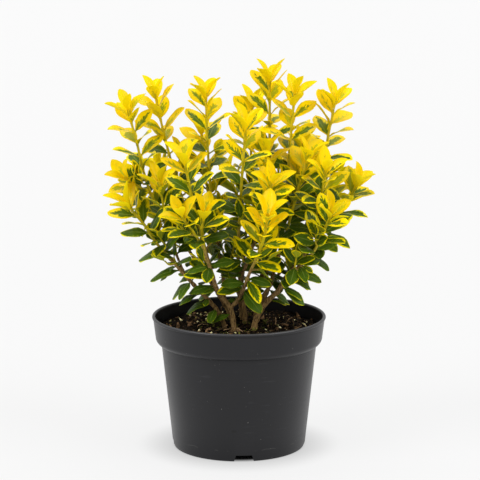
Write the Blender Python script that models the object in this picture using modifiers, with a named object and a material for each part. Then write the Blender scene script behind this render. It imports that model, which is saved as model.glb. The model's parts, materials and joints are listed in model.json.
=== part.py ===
"""A potted euonymus: a round black nursery pot, its soil, seven rooted woody stems, the leafy
green twigs that carry on from them, and a rosette of yellow young leaves on the end of each twig.

Metres, +Z up. The origin is the middle of the pot's underside, on the table. -Y is the front.
"""

import math
import random
from dataclasses import dataclass

import bmesh
import bpy
import numpy as np
from mathutils import Vector, noise
from mathutils.bvhtree import BVHTree

MM = 0.001
GAP = 0.3 * MM  # clear space kept between pieces that touch

# Pot
RIM_RADIUS = 85 * MM
POT_HEIGHT = 130 * MM
LIP_BEAD = 1.6 * MM
COLLAR_RADIUS = 81.7 * MM  # at the collar's foot
SHOULDER = 102 * MM  # height where the collar's foot meets the body
BODY_TOP_RADIUS = 74.8 * MM
BODY_LOW_RADIUS = 65.3 * MM
FOOT_RADIUS = 64 * MM
WALL = 1.3 * MM
FOOT_RING = 3 * MM
FOOT_TAPER = 0.8 * MM
FOOT_EDGE = 3 * MM  # height of the chamfer between body and foot
FLOOR_UNDERSIDE = 6.5 * MM
FLOOR_TOP = 8 * MM
HUB_RADIUS = 15 * MM
HUB_TAPER = 1 * MM
NOTCHES = 4
NOTCH_BASE_WIDTH = 20 * MM
NOTCH_TOP_WIDTH = 15.5 * MM
NOTCH_HEIGHT = 6.2 * MM
FIRST_NOTCH_DEG = 274.3
DRAIN_HOLES = 6
DRAIN_HOLE_RADIUS = 4 * MM
DRAIN_CIRCLE = 40 * MM
POT_STEPS = 32

# Soil
SOIL_LEVEL = 116 * MM
SOIL_RELIEF = 3.2 * MM
SOIL_LUMPS = 26 * MM  # size of the soil's lumps
SOIL_CRUMBS = 10.4 * MM  # and of the smaller ones on them
SOIL_FALL = 0.6  # how far it sinks towards the wall, as a share of its relief
SOIL_LIFT = 0.4
SOIL_RINGS = (24 * MM, 44 * MM, 64 * MM)  # radii of the rings of its top

# Stems
HOLE_GAP = 0.39 * MM  # round a stem in the soil, measured at the corners
HOLE_REACH = 45 * MM  # length of the stem that its hole's cutter follows
HOLE_SHARE = 0.45
SINK = 1.3 * MM  # how far a leaf's root lies under its stem's surface
TUBE_STEP = 17 * MM  # between a stem's rings
CROWN_STEM = 8.5 * MM
CROWN_STEM_WIDTH = 2.4 * MM
BUD_WIDTH = 2.8 * MM

# Leaves
PETIOLE = 0.12  # share of a leaf's length
BLADE_KEEL = 1.2 * MM  # thickness at the midrib
ROOT_KEEL = 1.0 * MM
ROOT_HALF_WIDTH = 0.6 * MM
STATIONS = (0.0, 0.42, 0.78)  # the tip follows as a point
ROSETTE = ((0.86, 27, 24 * MM, 11.5 * MM, 10), (0.36, 42, 28 * MM, 13.8 * MM, 14))
FIRST_PAIR = 4.5 * MM  # the highest leaf pair's distance under its twig's end
LAST_PAIR = 6 * MM
FULL_PAIRS = 3  # leaf pairs at a twig's tip that are all there
DEEP_PAIRS = 4  # below them, one pair in this many
CLEARANCE = 0.45 * MM  # added all round a blade for the test that it crosses nothing
SEED = 11

BARK = ("bark", (0.17, 0.115, 0.065), 0.8)
GREEN = ("green leaf", (0.10, 0.24, 0.03), 0.42)
YELLOW = ("yellow leaf", (0.86, 0.62, 0.02), 0.42)
PLASTIC = ("black plastic", (0.03, 0.03, 0.033), 0.45)
EARTH = ("soil", (0.045, 0.028, 0.018), 0.95)


@dataclass(frozen=True)
class Branch:
    """A stem between its start and its tip. Points are in mm, thicknesses too."""

    name: str
    node: str
    parent: str
    points: tuple
    thick: float
    thin: float
    turn: float = 0.0  # heading of its highest leaf pair round the stem, in degrees
    crown: float = 1.0  # size of the rosette on its end


WOODY = (
    Branch("left", "stem_left", "", ((-13, -3, 95), (-14, -4, 118), (-20, -8, 134), (-29, -10, 146),
           (-39, -12, 157), (-52, -14, 172), (-67, -17, 190)), 5.2, 3.4),
    Branch("left_fork", "stem_left", "left", ((-52, -14, 172), (-58, -13, 186)), 3.2, 2.9),
    Branch("front", "stem_front", "", ((-4, -12, 95), (-5, -12, 120), (-8, -14, 139), (-17, -18, 152),
           (-22, -23, 162), (-27, -31, 181), (-31, -36, 194)), 6.4, 3.6),
    Branch("front_fork", "stem_front", "front", ((-8, -14, 139), (-2, -17, 147), (4, -24, 160),
           (9, -32, 175)), 4.2, 3.4),
    Branch("front_rise", "stem_front", "front", ((-23, -25, 166), (-30, -26, 192)), 3.3, 2.9),
    Branch("right", "stem_right", "", ((15, -8, 95), (15, -8, 120), (21, -9, 136), (29, -10, 147),
           (39, -12, 157), (47, -15, 170), (55, -20, 179), (63, -25, 188)), 8.2, 3.4),
    Branch("right_fork", "stem_right", "right", ((36, -11, 154), (45, -3, 168), (53, 2, 177)), 3.8, 3.0),
    Branch("right_rise", "stem_right", "right", ((20, -9, 135), (25, -4, 148), (31, 0, 162),
           (35, 2, 176), (40, 1, 192)), 4.8, 3.4),
    Branch("middle", "stem_middle", "", ((5, 7, 95), (6, 6, 120), (4, 4, 144), (1, 0, 164),
           (-1, -6, 194)), 5.4, 3.4),
    Branch("middle_fork", "stem_middle", "middle", ((1, 0, 164), (8, -9, 184), (14, -18, 203)), 3.6, 3.0),
    Branch("back_left", "stem_back_left", "", ((-6, 17, 95), (-7, 18, 120), (-24, 21, 152),
           (-46, 25, 184)), 5.6, 3.4),
    Branch("back_left_fork", "stem_back_left", "back_left", ((-24, 21, 152), (-34, 28, 180),
           (-44, 32, 205)), 3.8, 3.0),
    Branch("back_left_rise", "stem_back_left", "back_left", ((-12, 19, 132), (-16, 24, 165),
           (-22, 26, 200)), 3.8, 3.0),
    Branch("back_right", "stem_back_right", "", ((15, 15, 95), (16, 16, 120), (20, 21, 150),
           (25, 27, 180), (28, 32, 210)), 5.8, 3.4),
    Branch("back_right_fork", "stem_back_right", "back_right", ((20, 21, 150), (30, 22, 175),
           (38, 22, 200)), 3.6, 3.0),
    Branch("back_right_low", "stem_back_right", "back_right", ((17, 18, 133), (34, 22, 158),
           (50, 24, 182)), 4.0, 3.0),
    Branch("rear", "stem_rear", "", ((3, 30, 95), (3, 31, 120), (-2, 39, 150), (-14, 50, 178)), 5.8, 3.2),
    Branch("rear_fork", "stem_rear", "rear", ((1, 34, 136), (4, 52, 162), (6, 66, 186)), 3.8, 3.0),
    Branch("rear_low", "stem_rear", "rear", ((3, 32, 127), (20, 44, 152), (34, 56, 180)), 3.8, 3.0),
)

GREENS = (
    Branch("left_low", "twig_left_low", "left", ((-67, -17, 190), (-81, -20, 207), (-90, -22, 222),
           (-101, -24, 236)), 3.0, 2.5, 20, crown=1.1),
    Branch("left_high", "twig_left_high", "left_fork", ((-58, -13, 186), (-66, -12, 210),
           (-72, -12, 236), (-75, -12, 254)), 2.8, 2.4, 60),
    Branch("front_left", "twig_front_left", "front", ((-31, -36, 194), (-34, -42, 210), (-35, -47, 223),
           (-34, -50, 230)), 3.2, 2.5, 5),
    Branch("front_outer", "twig_front_left", "front_left", ((-33, -39, 202), (-43, -50, 221),
           (-50, -58, 232)), 2.6, 2.4, 70),
    Branch("front_tall", "twig_front_tall", "front_rise", ((-30, -26, 192), (-37, -30, 220),
           (-44, -38, 250), (-50, -44, 281)), 2.8, 2.4, 15, crown=1.1),
    Branch("front_right", "twig_front_right", "front_fork", ((9, -32, 175), (18, -45, 198),
           (24, -56, 218), (26, -64, 232)), 3.2, 2.6, 10, crown=1.15),
    Branch("right_front", "twig_right_front", "right", ((63, -25, 188), (73, -33, 202), (80, -40, 219),
           (85, -47, 232)), 3.0, 2.5, 40),
    Branch("right_outer", "twig_right_outer", "right_fork", ((53, 2, 177), (64, 5, 189), (79, 6, 206),
           (98, 2, 232), (111, -4, 253)), 2.9, 2.4, 30),
    Branch("right_upper", "twig_right_outer", "right_outer", ((66, 5, 191), (74, -12, 226),
           (79, -30, 256), (81, -38, 271)), 2.7, 2.4, 75),
    Branch("right_inner", "twig_right_inner", "right_rise", ((40, 1, 192), (47, -4, 217),
           (57, -14, 257), (64, -20, 280)), 3.2, 2.5, 25, crown=1.1),
    Branch("middle_top", "twig_middle_top", "middle", ((-1, -6, 194), (0, -10, 216), (2, -18, 255),
           (4, -24, 286), (6, -27, 310)), 3.2, 2.5, 35, crown=1.15),
    Branch("middle_right", "twig_middle_right", "middle_fork", ((14, -18, 203), (22, -31, 235),
           (29, -42, 260)), 2.9, 2.4, 55),
    Branch("middle_back", "twig_middle_right", "middle_right", ((17, -23, 214), (24, -12, 252),
           (26, -5, 284)), 2.6, 2.4, 0),
    Branch("far_left", "twig_far_left", "back_left", ((-46, 25, 184), (-68, 26, 215), (-84, 21, 241),
           (-93, 15, 270), (-99, 10, 299), (-105, 8, 322)), 3.2, 2.4, 65),
    Branch("left_edge", "twig_far_left", "far_left", ((-86, 20, 246), (-97, 9, 255), (-104, 2, 260)),
           2.5, 2.3, 10),
    Branch("left_back_edge", "twig_far_left", "far_left", ((-68, 26, 215), (-84, 36, 226),
           (-98, 42, 237)), 2.6, 2.3, 30),
    Branch("left_tall", "twig_left_tall", "back_left_fork", ((-44, 32, 205), (-60, 34, 253),
           (-72, 35, 297), (-80, 35, 333)), 2.9, 2.4, 15),
    Branch("left_back", "twig_left_tall", "left_tall", ((-47, 32, 213), (-62, 50, 238), (-76, 64, 258)),
           2.6, 2.4, 50),
    Branch("inner_tall", "twig_inner_tall", "back_left_rise", ((-22, 26, 200), (-28, 27, 250),
           (-31, 28, 300), (-32, 28, 335)), 2.9, 2.4, 30),
    Branch("summit", "twig_summit", "back_right", ((28, 32, 210), (30, 35, 260), (30, 36, 310),
           (30, 36, 349)), 3.2, 2.5, 20, crown=1.05),
    Branch("right_tall", "twig_right_tall", "back_right_fork", ((38, 22, 200), (46, 20, 245),
           (50, 16, 300), (53, 12, 337)), 2.9, 2.4, 70),
    Branch("right_middle", "twig_right_tall", "right_tall", ((40, 22, 209), (53, 26, 238),
           (61, 27, 260)), 2.6, 2.4, 20),
    Branch("far_right", "twig_far_right", "back_right_low", ((50, 24, 182), (66, 26, 215),
           (80, 25, 258), (85, 24, 292), (92, 25, 329)), 3.0, 2.4, 45),
    Branch("right_edge", "twig_far_right", "far_right", ((64, 26, 211), (84, 38, 234), (97, 45, 250)),
           2.6, 2.4, 0),
    Branch("rear_left", "twig_rear_left", "rear", ((-14, 50, 178), (-26, 60, 215), (-34, 67, 260),
           (-37, 70, 293)), 3.0, 2.4, 10),
    Branch("rear_left_low", "twig_rear_left", "rear_left", ((-21, 55, 196), (-37, 76, 214),
           (-48, 92, 230)), 2.6, 2.4, 60),
    Branch("rear_tall", "twig_rear_middle", "rear_fork", ((6, 66, 186), (9, 72, 225), (12, 75, 275),
           (13, 75, 319)), 2.9, 2.4, 40),
    Branch("rear_middle", "twig_rear_middle", "rear_tall", ((7, 69, 200), (2, 88, 223), (-8, 104, 246)),
           2.6, 2.4, 15),
    Branch("rear_right", "twig_rear_right", "rear_low", ((34, 56, 180), (48, 60, 215), (57, 58, 250),
           (62, 56, 280)), 3.0, 2.4, 50),
    Branch("rear_right_back", "twig_rear_right", "rear_right", ((36, 57, 184), (40, 78, 218),
           (40, 98, 256)), 2.6, 2.4, 25),
    Branch("rear_right_low", "twig_rear_right", "rear_right", ((42, 59, 199), (60, 68, 222),
           (75, 74, 246)), 2.6, 2.4, 80),
)


@dataclass(frozen=True)
class LowLeaf:
    """An old leaf on a woody stem: where it grows, its heading (0 is +X, 90 is the back) and shape."""

    branch: str
    share: float
    heading: float
    rise: float
    length: float
    width: float
    curl: float


LOW_LEAVES = (
    LowLeaf("left", 0.86, 186, -2, 32, 12, 50),
    LowLeaf("left", 0.80, 20, 30, 24, 12, 30),
    LowLeaf("left", 0.72, 232, -20, 24, 12, 30),
    LowLeaf("left", 0.58, 190, 0, 26, 12, 55),
    LowLeaf("left", 0.46, 188, 10, 28, 13, 70),
    LowLeaf("left", 0.40, 250, -20, 20, 10, 25),
    LowLeaf("front", 0.66, 200, 5, 18, 11, 40),
    LowLeaf("front", 0.80, 175, 25, 28, 13, 20),
    LowLeaf("front", 0.90, 262, -20, 22, 13, 25),
    LowLeaf("front_fork", 0.62, 196, 5, 26, 14, 40),
    LowLeaf("front_fork", 0.58, 318, -35, 29, 15, 15),
    LowLeaf("front_fork", 0.90, 305, -38, 28, 13, 15),
    LowLeaf("front_fork", 0.94, 350, -5, 24, 12, 30),
    LowLeaf("right", 0.66, 335, 0, 24, 11, 60),
    LowLeaf("right", 0.74, 348, 10, 28, 11, 70),
    LowLeaf("right", 0.86, 350, -5, 29, 13, 45),
    LowLeaf("right", 0.94, 30, 20, 24, 12, 30),
    LowLeaf("right_rise", 0.70, 120, 30, 24, 12, 25),
    LowLeaf("middle", 0.70, 200, 20, 26, 13, 25),
    LowLeaf("middle", 0.78, 290, 15, 24, 13, 25),
    LowLeaf("back_left", 0.62, 120, 15, 28, 13, 45),
    LowLeaf("back_left", 0.80, 160, 5, 30, 13, 40),
    LowLeaf("back_right", 0.60, 60, 15, 28, 13, 40),
    LowLeaf("back_right_low", 0.70, 20, 0, 28, 13, 45),
    LowLeaf("rear", 0.60, 100, 10, 28, 13, 50),
    LowLeaf("rear_fork", 0.55, 70, 10, 28, 13, 45),
    LowLeaf("rear_low", 0.60, 60, 0, 28, 13, 45),
)


class Path:
    """A smooth curve through a branch's points, read by its share of the length."""

    SAMPLES = 8

    def __init__(self, points, start_direction=None):
        places = np.array(points, float)
        slopes = np.gradient(places, axis=0) if len(places) > 2 else np.tile(places[1] - places[0], (2, 1))
        if start_direction is not None:
            slopes[0] = np.array(start_direction) * np.linalg.norm(places[1] - places[0])
        along = []
        for i in range(len(places) - 1):
            for t in np.arange(self.SAMPLES) / self.SAMPLES:
                along.append(self.hermite(places[i], places[i + 1], slopes[i], slopes[i + 1], t))
        self.places = np.array(along + [places[-1]])
        steps = np.linalg.norm(np.diff(self.places, axis=0), axis=1)
        self.lengths = np.concatenate([[0.0], np.cumsum(steps)])
        self.length = self.lengths[-1]

    @staticmethod
    def hermite(a, b, slope_a, slope_b, t):
        """The point at t on the cubic between a and b."""
        t2, t3 = t * t, t * t * t
        return ((2 * t3 - 3 * t2 + 1) * a + (t3 - 2 * t2 + t) * slope_a
                + (3 * t2 - 2 * t3) * b + (t3 - t2) * slope_b)

    def at(self, share):
        """The point at this share of the length."""
        reach = min(max(share, 0.0), 1.0) * self.length
        return Vector([np.interp(reach, self.lengths, self.places[:, i]) for i in range(3)])

    def direction(self, share):
        """The way the path runs there."""
        step = 0.02
        return (self.at(share + step) - self.at(share - step)).normalized()

    def nearest(self, point):
        """The share of the length that lies nearest to a point."""
        gaps = np.linalg.norm(self.places - np.array(point), axis=1)
        return self.lengths[int(gaps.argmin())] / self.length


@dataclass(frozen=True)
class Stem:
    """A branch with its path, in metres."""

    branch: Branch
    path: Path

    def radius(self, share):
        """Its radius at a share of its length."""
        thick, thin = self.branch.thick, self.branch.thin
        return (thick + (thin - thick) * share) * 0.5 * MM


def metres(points):
    """Points in mm as metres."""
    return [tuple(value * MM for value in point) for point in points]


def grow_stem(branch, stems):
    """The branch's path. It starts at its parent's end, 0.3 mm clear, or inside its parent's side."""
    points = metres(branch.points)
    if not branch.parent:
        return Stem(branch, Path(points))
    parent = stems[branch.parent]
    if branch.node != parent.branch.node:
        way = parent.path.direction(1.0)
        start = parent.path.at(1.0) + way * GAP
    else:
        share = parent.path.nearest(points[0])
        start = parent.path.at(share)
        onward = (Vector(points[1]) - start).normalized()
        way = (parent.path.direction(share) + onward).normalized()
    return Stem(branch, Path([tuple(start)] + points[1:], way))


def crown_branch(stem):
    """The short stem of the rosette that stands on a twig's end."""
    way = stem.path.direction(1.0)
    start = stem.path.at(1.0)
    top = start + (way + Vector((0, 0, 0.25))).normalized() * CROWN_STEM
    name = "crown_" + stem.branch.name
    points = (tuple(start / MM), tuple(top / MM))
    return Branch(name, name, stem.branch.name, points, CROWN_STEM_WIDTH / MM, BUD_WIDTH / MM,
                  stem.branch.turn)


@dataclass(frozen=True)
class Leaf:
    """A leaf: the solid and stem it grows from, its root, the way it sets off, and its shape."""

    node: str
    stem: str
    rank: int
    root: Vector
    way: Vector
    face: Vector  # its upper side's normal at the root
    length: float
    width: float
    curl: float  # how far it bends back from root to tip, in degrees

    def frame(self, share):
        """Midrib point, the way it runs, and the upper side's normal at a share of the length."""
        steps = 12
        place = self.root.copy()
        for i in range(steps):
            angle = math.radians(self.curl) * share * (i + 0.5) / steps
            place += (self.way * math.cos(angle) - self.face * math.sin(angle)) * (self.length * share / steps)
        angle = math.radians(self.curl) * share
        way = self.way * math.cos(angle) - self.face * math.sin(angle)
        return place, way, self.face * math.cos(angle) + self.way * math.sin(angle)

    def half_width(self, share):
        """Half the blade's width at a share of the length: a narrow stalk, then a spoon-shaped blade."""
        if share <= PETIOLE:
            return ROOT_HALF_WIDTH
        blade = (share - PETIOLE) / (1 - PETIOLE)
        return max(0.5 * self.width * math.sin(math.pi * blade ** 0.86) ** 0.8, 0.0)

    def blade(self, extra=0.0):
        """Vertices and faces of its solid: rings of left edge, right edge and keel, then the tip.
        Both sides of the keel are split alike. Extra is added all round it, for the crossing test."""
        points = []
        for share in STATIONS:
            place, way, face = self.frame(share)
            side = face.cross(way) * (self.half_width(share) + extra)
            keel = face * ((BLADE_KEEL if share else ROOT_KEEL) + extra)
            points += [place - side + face * extra, place + side + face * extra, place - keel]
        tip, way, _ = self.frame(1.0)
        points.append(tip + way * extra)
        last = len(points) - 1
        faces = [(0, 1, 2)]
        for low in range(0, last - 3, 3):
            left, right, keel, far_left, far_right, far_keel = range(low, low + 6)
            faces += [(left, far_left, far_right, right), (left, keel, far_keel),
                      (left, far_keel, far_left), (right, far_keel, keel), (right, far_right, far_keel)]
        faces += [(last - 3, last, last - 2), (last - 3, last - 1, last), (last - 2, last, last - 1)]
        return points, faces


def leaf_on(bearer, share, heading, spread, **shape):
    """A leaf at a share of a stem, turned by heading round it and leaning spread off it, in degrees."""
    way = bearer.path.direction(share)
    aside = way.cross(Vector((0, 1, 0))).normalized()
    ahead = aside.cross(way)
    out = aside * math.cos(math.radians(heading)) + ahead * math.sin(math.radians(heading))
    lean = math.radians(spread)
    root = bearer.path.at(share) + out * max(bearer.radius(share) - SINK, 0.2 * bearer.radius(share))
    return Leaf(root=root, way=way * math.cos(lean) + out * math.sin(lean),
                face=way * math.sin(lean) - out * math.cos(lean), **shape)


def crown_leaves(stem, size, draw):
    """The rosette: pairs at right angles, the upper ones smaller and more upright."""
    found = []
    for rank, (share, spread, length, width, curl) in enumerate(ROSETTE):
        heading = stem.branch.turn + 90 * rank + draw.uniform(-8, 8)
        for side in (0, 180):
            found.append(dict(share=share, heading=heading + side + draw.uniform(-6, 6),
                              spread=spread + draw.uniform(-4, 4),
                              length=length * size * draw.uniform(0.94, 1.06),
                              width=width * size * draw.uniform(0.94, 1.06),
                              curl=curl + draw.uniform(-6, 10), rank=rank))
    return found


def twig_leaves(stem, draw):
    """Pairs down a green twig from its tip, each at right angles to the next. The upper pairs are all
    here, and fewer of those under them, which the upper ones hide."""
    found = []
    below = FIRST_PAIR
    rank = 0
    while stem.path.length - below > LAST_PAIR:
        age = min(rank / 6, 1.0)
        heading = stem.branch.turn + 90 * rank + draw.uniform(-10, 10)
        for side in (0, 180):
            plan = dict(share=1 - below / stem.path.length, heading=heading + side + draw.uniform(-8, 8),
                        spread=44 + 24 * age + draw.uniform(-6, 6),
                        length=(28.5 + 3 * math.sin(math.pi * age) + draw.uniform(-2, 2)) * MM,
                        width=(15 + draw.uniform(-1, 1)) * MM,
                        curl=8 + 30 * age + draw.uniform(-8, 10), rank=len(ROSETTE) + rank)
            if rank < FULL_PAIRS or rank % DEEP_PAIRS == 0:
                found.append(plan)
        below += (10.5 + 0.7 * rank + draw.uniform(-1, 1)) * MM
        rank += 1
    return found


def turned_ways():
    """Small turns, leanings and shortenings tried in order until a leaf crosses nothing."""
    for scale in (1.0, 0.9, 0.8, 0.7, 0.6):
        for turn, lean in sorted(((a, b) for a in range(-40, 41, 10) for b in range(-24, 25, 8)),
                                 key=lambda way: (abs(way[0]) + 1.3 * abs(way[1]), way)):
            yield scale, turn, lean


class Space:
    """What is already placed, so that each new leaf can be bent clear of it."""

    def __init__(self):
        self.items = []
        self.centres = np.zeros((0, 3))
        self.reaches = np.zeros(0)

    def add(self, points, faces, tag):
        """Keeps a solid that later leaves have to miss."""
        cloud = np.array([tuple(p) for p in points])
        centre = cloud.mean(axis=0)
        self.items.append((BVHTree.FromPolygons(points, faces), tag))
        self.centres = np.vstack([self.centres, centre])
        self.reaches = np.append(self.reaches, np.linalg.norm(cloud - centre, axis=1).max())

    def crossed(self, points, faces, passed):
        """Whether a solid crosses one already kept, whose tag isn't among those passed over."""
        cloud = np.array([tuple(p) for p in points])
        centre = cloud.mean(axis=0)
        reach = np.linalg.norm(cloud - centre, axis=1).max()
        near = np.linalg.norm(self.centres - centre, axis=1) < self.reaches + reach
        tree = BVHTree.FromPolygons(points, faces)
        for index in np.flatnonzero(near):
            other, other_tag = self.items[index]
            if other_tag not in passed and other.overlap(tree):
                return True
        return False


def clear_of_pot(points):
    """Whether points keep off the pot's rim and the soil."""
    for point in points:
        radius = math.hypot(point.x, point.y)
        if point.z < POT_HEIGHT + 5 * MM and radius > COLLAR_RADIUS - 9 * MM:
            return False
        if point.z < SOIL_LEVEL + SOIL_RELIEF + 3 * MM:
            return False
    return True


def place_leaf(stem, plan, space):
    """The leaf as planned, or turned, leaned or shortened until it is clear. None where nothing fits."""
    for scale, turn, lean in turned_ways():
        shape = dict(plan)
        shape["heading"] += turn
        shape["spread"] += lean
        shape["length"] *= scale
        shape["width"] *= 0.5 + 0.5 * scale
        leaf = leaf_on(stem, node=stem.branch.node, stem=stem.branch.name, **shape)
        points, faces = leaf.blade(CLEARANCE)
        pair = f"{stem.branch.name} {plan['rank']}"
        if clear_of_pot(points) and not space.crossed(points, faces, (pair, stem.branch.name)):
            space.add(points, faces, pair)
            return leaf
    return None


def tube_rings(stem, extra=0.0, sides=6):
    """A plain prism round a stem, for the crossing test only."""
    count = max(2, round(stem.path.length / TUBE_STEP) + 1)
    points, faces = [], []
    for i in range(count):
        share = i / (count - 1)
        way = stem.path.direction(share)
        aside = way.orthogonal().normalized()
        ahead = way.cross(aside)
        for k in range(sides):
            angle = 2 * math.pi * k / sides
            points.append(stem.path.at(share)
                          + (aside * math.cos(angle) + ahead * math.sin(angle)) * (stem.radius(share) + extra))
    for i in range(count - 1):
        for k in range(sides):
            a, b = i * sides + k, i * sides + (k + 1) % sides
            faces.append((a, b, b + sides, a + sides))
    return points, faces


def low_leaf_plan(stem, low):
    """A low leaf's heading in the world turned into a plan on its stem."""
    heading, rise = math.radians(low.heading), math.radians(low.rise)
    way = Vector((math.cos(heading) * math.cos(rise), math.sin(heading) * math.cos(rise), math.sin(rise)))
    along = stem.path.direction(low.share)
    aside = along.cross(Vector((0, 1, 0))).normalized()
    ahead = aside.cross(along)
    turn = math.degrees(math.atan2(way.dot(ahead), way.dot(aside)))
    spread = math.degrees(along.angle(way))
    return dict(share=low.share, heading=turn, spread=spread, length=low.length * MM,
                width=low.width * MM, curl=low.curl, rank=9)


def grow():
    """All stems by name, and all leaves, bent clear of each other."""
    stems = {}
    for branch in WOODY + GREENS:
        stems[branch.name] = grow_stem(branch, stems)
    crowns = [crown_branch(stems[branch.name]) for branch in GREENS]
    for branch in crowns:
        stems[branch.name] = grow_stem(branch, stems)
    space = Space()
    for stem in stems.values():
        points, faces = tube_rings(stem, CLEARANCE)
        space.add(points, faces, stem.branch.name)
    plans = []
    for branch in GREENS:
        draw = random.Random(f"{SEED} {branch.name}")
        crown, twig = stems["crown_" + branch.name], stems[branch.name]
        plans += [(crown, plan) for plan in crown_leaves(crown, branch.crown, draw)]
        plans += [(twig, plan) for plan in twig_leaves(twig, draw)]
    plans.sort(key=lambda pair: pair[1]["rank"])
    plans += [(stems[low.branch], low_leaf_plan(stems[low.branch], low)) for low in LOW_LEAVES]
    leaves = [place_leaf(stem, plan, space) for stem, plan in plans]
    return stems, [leaf for leaf in leaves if leaf]


def material(finish):
    """A Principled material from a name, a colour and a roughness."""
    name, colour, roughness = finish
    made = bpy.data.materials.get(name) or bpy.data.materials.new(name)
    made.use_nodes = True
    shader = made.node_tree.nodes["Principled BSDF"]
    shader.inputs["Base Color"].default_value = (*colour, 1.0)
    shader.inputs["Roughness"].default_value = roughness
    shader.inputs["Metallic"].default_value = 0.0
    return made


def mesh_object(name, points, faces, collection):
    """An object with these faces, all turned outwards."""
    mesh = bpy.data.meshes.new(name)
    mesh.from_pydata([tuple(p) for p in points], [], faces)
    shape = bmesh.new()
    shape.from_mesh(mesh)
    bmesh.ops.recalc_face_normals(shape, faces=shape.faces)
    shape.to_mesh(mesh)
    shape.free()
    made = bpy.data.objects.new(name, mesh)
    collection.objects.link(made)
    return made


def plain_mesh(obj, weld=False):
    """The object's mesh with its modifiers or its curve worked out, and a curve's caps welded on."""
    bpy.context.view_layer.update()
    graph = bpy.context.evaluated_depsgraph_get()
    mesh = bpy.data.meshes.new_from_object(obj.evaluated_get(graph))
    if weld:
        shape = bmesh.new()
        shape.from_mesh(mesh)
        bmesh.ops.remove_doubles(shape, verts=shape.verts, dist=0.001 * MM)
        shape.to_mesh(mesh)
        shape.free()
    return mesh


def tube(name, stem, collection, extra=0.0, top=1.0):
    """A stem as a bevelled curve with filled caps, made a mesh: six sides, or four on a green twig.
    Extra widens and deepens it."""
    curve = bpy.data.curves.new(name, "CURVE")
    curve.dimensions = "3D"
    curve.use_fill_caps = True
    curve.bevel_depth = stem.radius(0.0)
    curve.bevel_resolution = 1 if stem.branch in WOODY else 0
    count = max(2, round(stem.path.length / TUBE_STEP) + 1)
    shares = [i / (count - 1) for i in range(count) if i / (count - 1) <= top]
    spline = curve.splines.new("POLY")
    spline.points.add(len(shares) - 1)
    for point, share in zip(spline.points, shares):
        place = stem.path.at(share)
        if extra and share == 0.0:
            place -= stem.path.direction(0.0) * extra
        point.co = (*place, 1.0)
        point.radius = (stem.radius(share) + extra) / curve.bevel_depth
    made = bpy.data.objects.new(name, curve)
    collection.objects.link(made)
    mesh = plain_mesh(made, weld=True)
    bpy.data.objects.remove(made)
    bpy.data.curves.remove(curve)
    made = bpy.data.objects.new(name, mesh)
    collection.objects.link(made)
    return made


def turned(name, profile, collection):
    """A profile of (radius, height) points turned about the Z axis."""
    mesh = bpy.data.meshes.new(name)
    edges = [(i, i + 1) for i in range(len(profile) - 1)]
    mesh.from_pydata([(radius, 0.0, height) for radius, height in profile], edges, [])
    made = bpy.data.objects.new(name, mesh)
    collection.objects.link(made)
    screw = made.modifiers.new("Turn", "SCREW")
    screw.axis = "Z"
    screw.steps = screw.render_steps = POT_STEPS
    screw.use_merge_vertices = True
    screw.merge_threshold = 0.01 * MM
    made.data = plain_mesh(made)
    made.modifiers.clear()
    return made


def arc(centre, radius, start, end, count):
    """Points on an arc, angles in degrees from +X towards +Z."""
    angles = [math.radians(start + (end - start) * i / (count - 1)) for i in range(count)]
    return [(centre[0] + radius * math.cos(a), centre[1] + radius * math.sin(a)) for a in angles]


def cut(obj, cutters, operation="DIFFERENCE"):
    """One Boolean with a whole collection, applied. The collection's objects are then removed."""
    boolean = obj.modifiers.new("Cut", "BOOLEAN")
    boolean.operation = operation
    boolean.operand_type = "COLLECTION"
    boolean.collection = cutters
    boolean.solver = "EXACT"
    boolean.material_mode = "TRANSFER"
    obj.data = plain_mesh(obj)
    obj.modifiers.clear()
    for cutter in list(cutters.objects):
        bpy.data.objects.remove(cutter)


def helpers(name):
    """A collection for cutters or operands, which isn't part of the object."""
    made = bpy.data.collections.new(name)
    bpy.context.scene.collection.children.link(made)
    made.hide_render = True
    return made


def foot_notch(heading, cutters):
    """The cutter of one drain notch in the foot ring: a short wedge, narrower at its top."""
    shape = bmesh.new()
    bmesh.ops.create_cube(shape, size=1.0)
    for vert in shape.verts:
        width = NOTCH_TOP_WIDTH if vert.co.z > 0 else NOTCH_BASE_WIDTH
        height = NOTCH_HEIGHT if vert.co.z > 0 else -2 * MM
        radius = FOOT_RADIUS + (6 * MM if vert.co.x > 0 else -8 * MM)
        across = width if vert.co.y > 0 else -width
        turn = math.radians(heading)
        vert.co = (radius * math.cos(turn) - 0.5 * across * math.sin(turn),
                   radius * math.sin(turn) + 0.5 * across * math.cos(turn), height)
    mesh = bpy.data.meshes.new("notch")
    shape.to_mesh(mesh)
    shape.free()
    made = bpy.data.objects.new("notch", mesh)
    cutters.objects.link(made)


def drain_hole(heading, cutters):
    """The cutter of one round hole in the floor."""
    shape = bmesh.new()
    bmesh.ops.create_cone(shape, cap_ends=True, segments=8, radius1=DRAIN_HOLE_RADIUS,
                          radius2=DRAIN_HOLE_RADIUS, depth=3 * FLOOR_TOP)
    turn = math.radians(heading)
    bmesh.ops.translate(shape, verts=shape.verts,
                        vec=(DRAIN_CIRCLE * math.cos(turn), DRAIN_CIRCLE * math.sin(turn), FLOOR_TOP))
    mesh = bpy.data.meshes.new("drain")
    shape.to_mesh(mesh)
    shape.free()
    made = bpy.data.objects.new("drain", mesh)
    cutters.objects.link(made)


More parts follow.
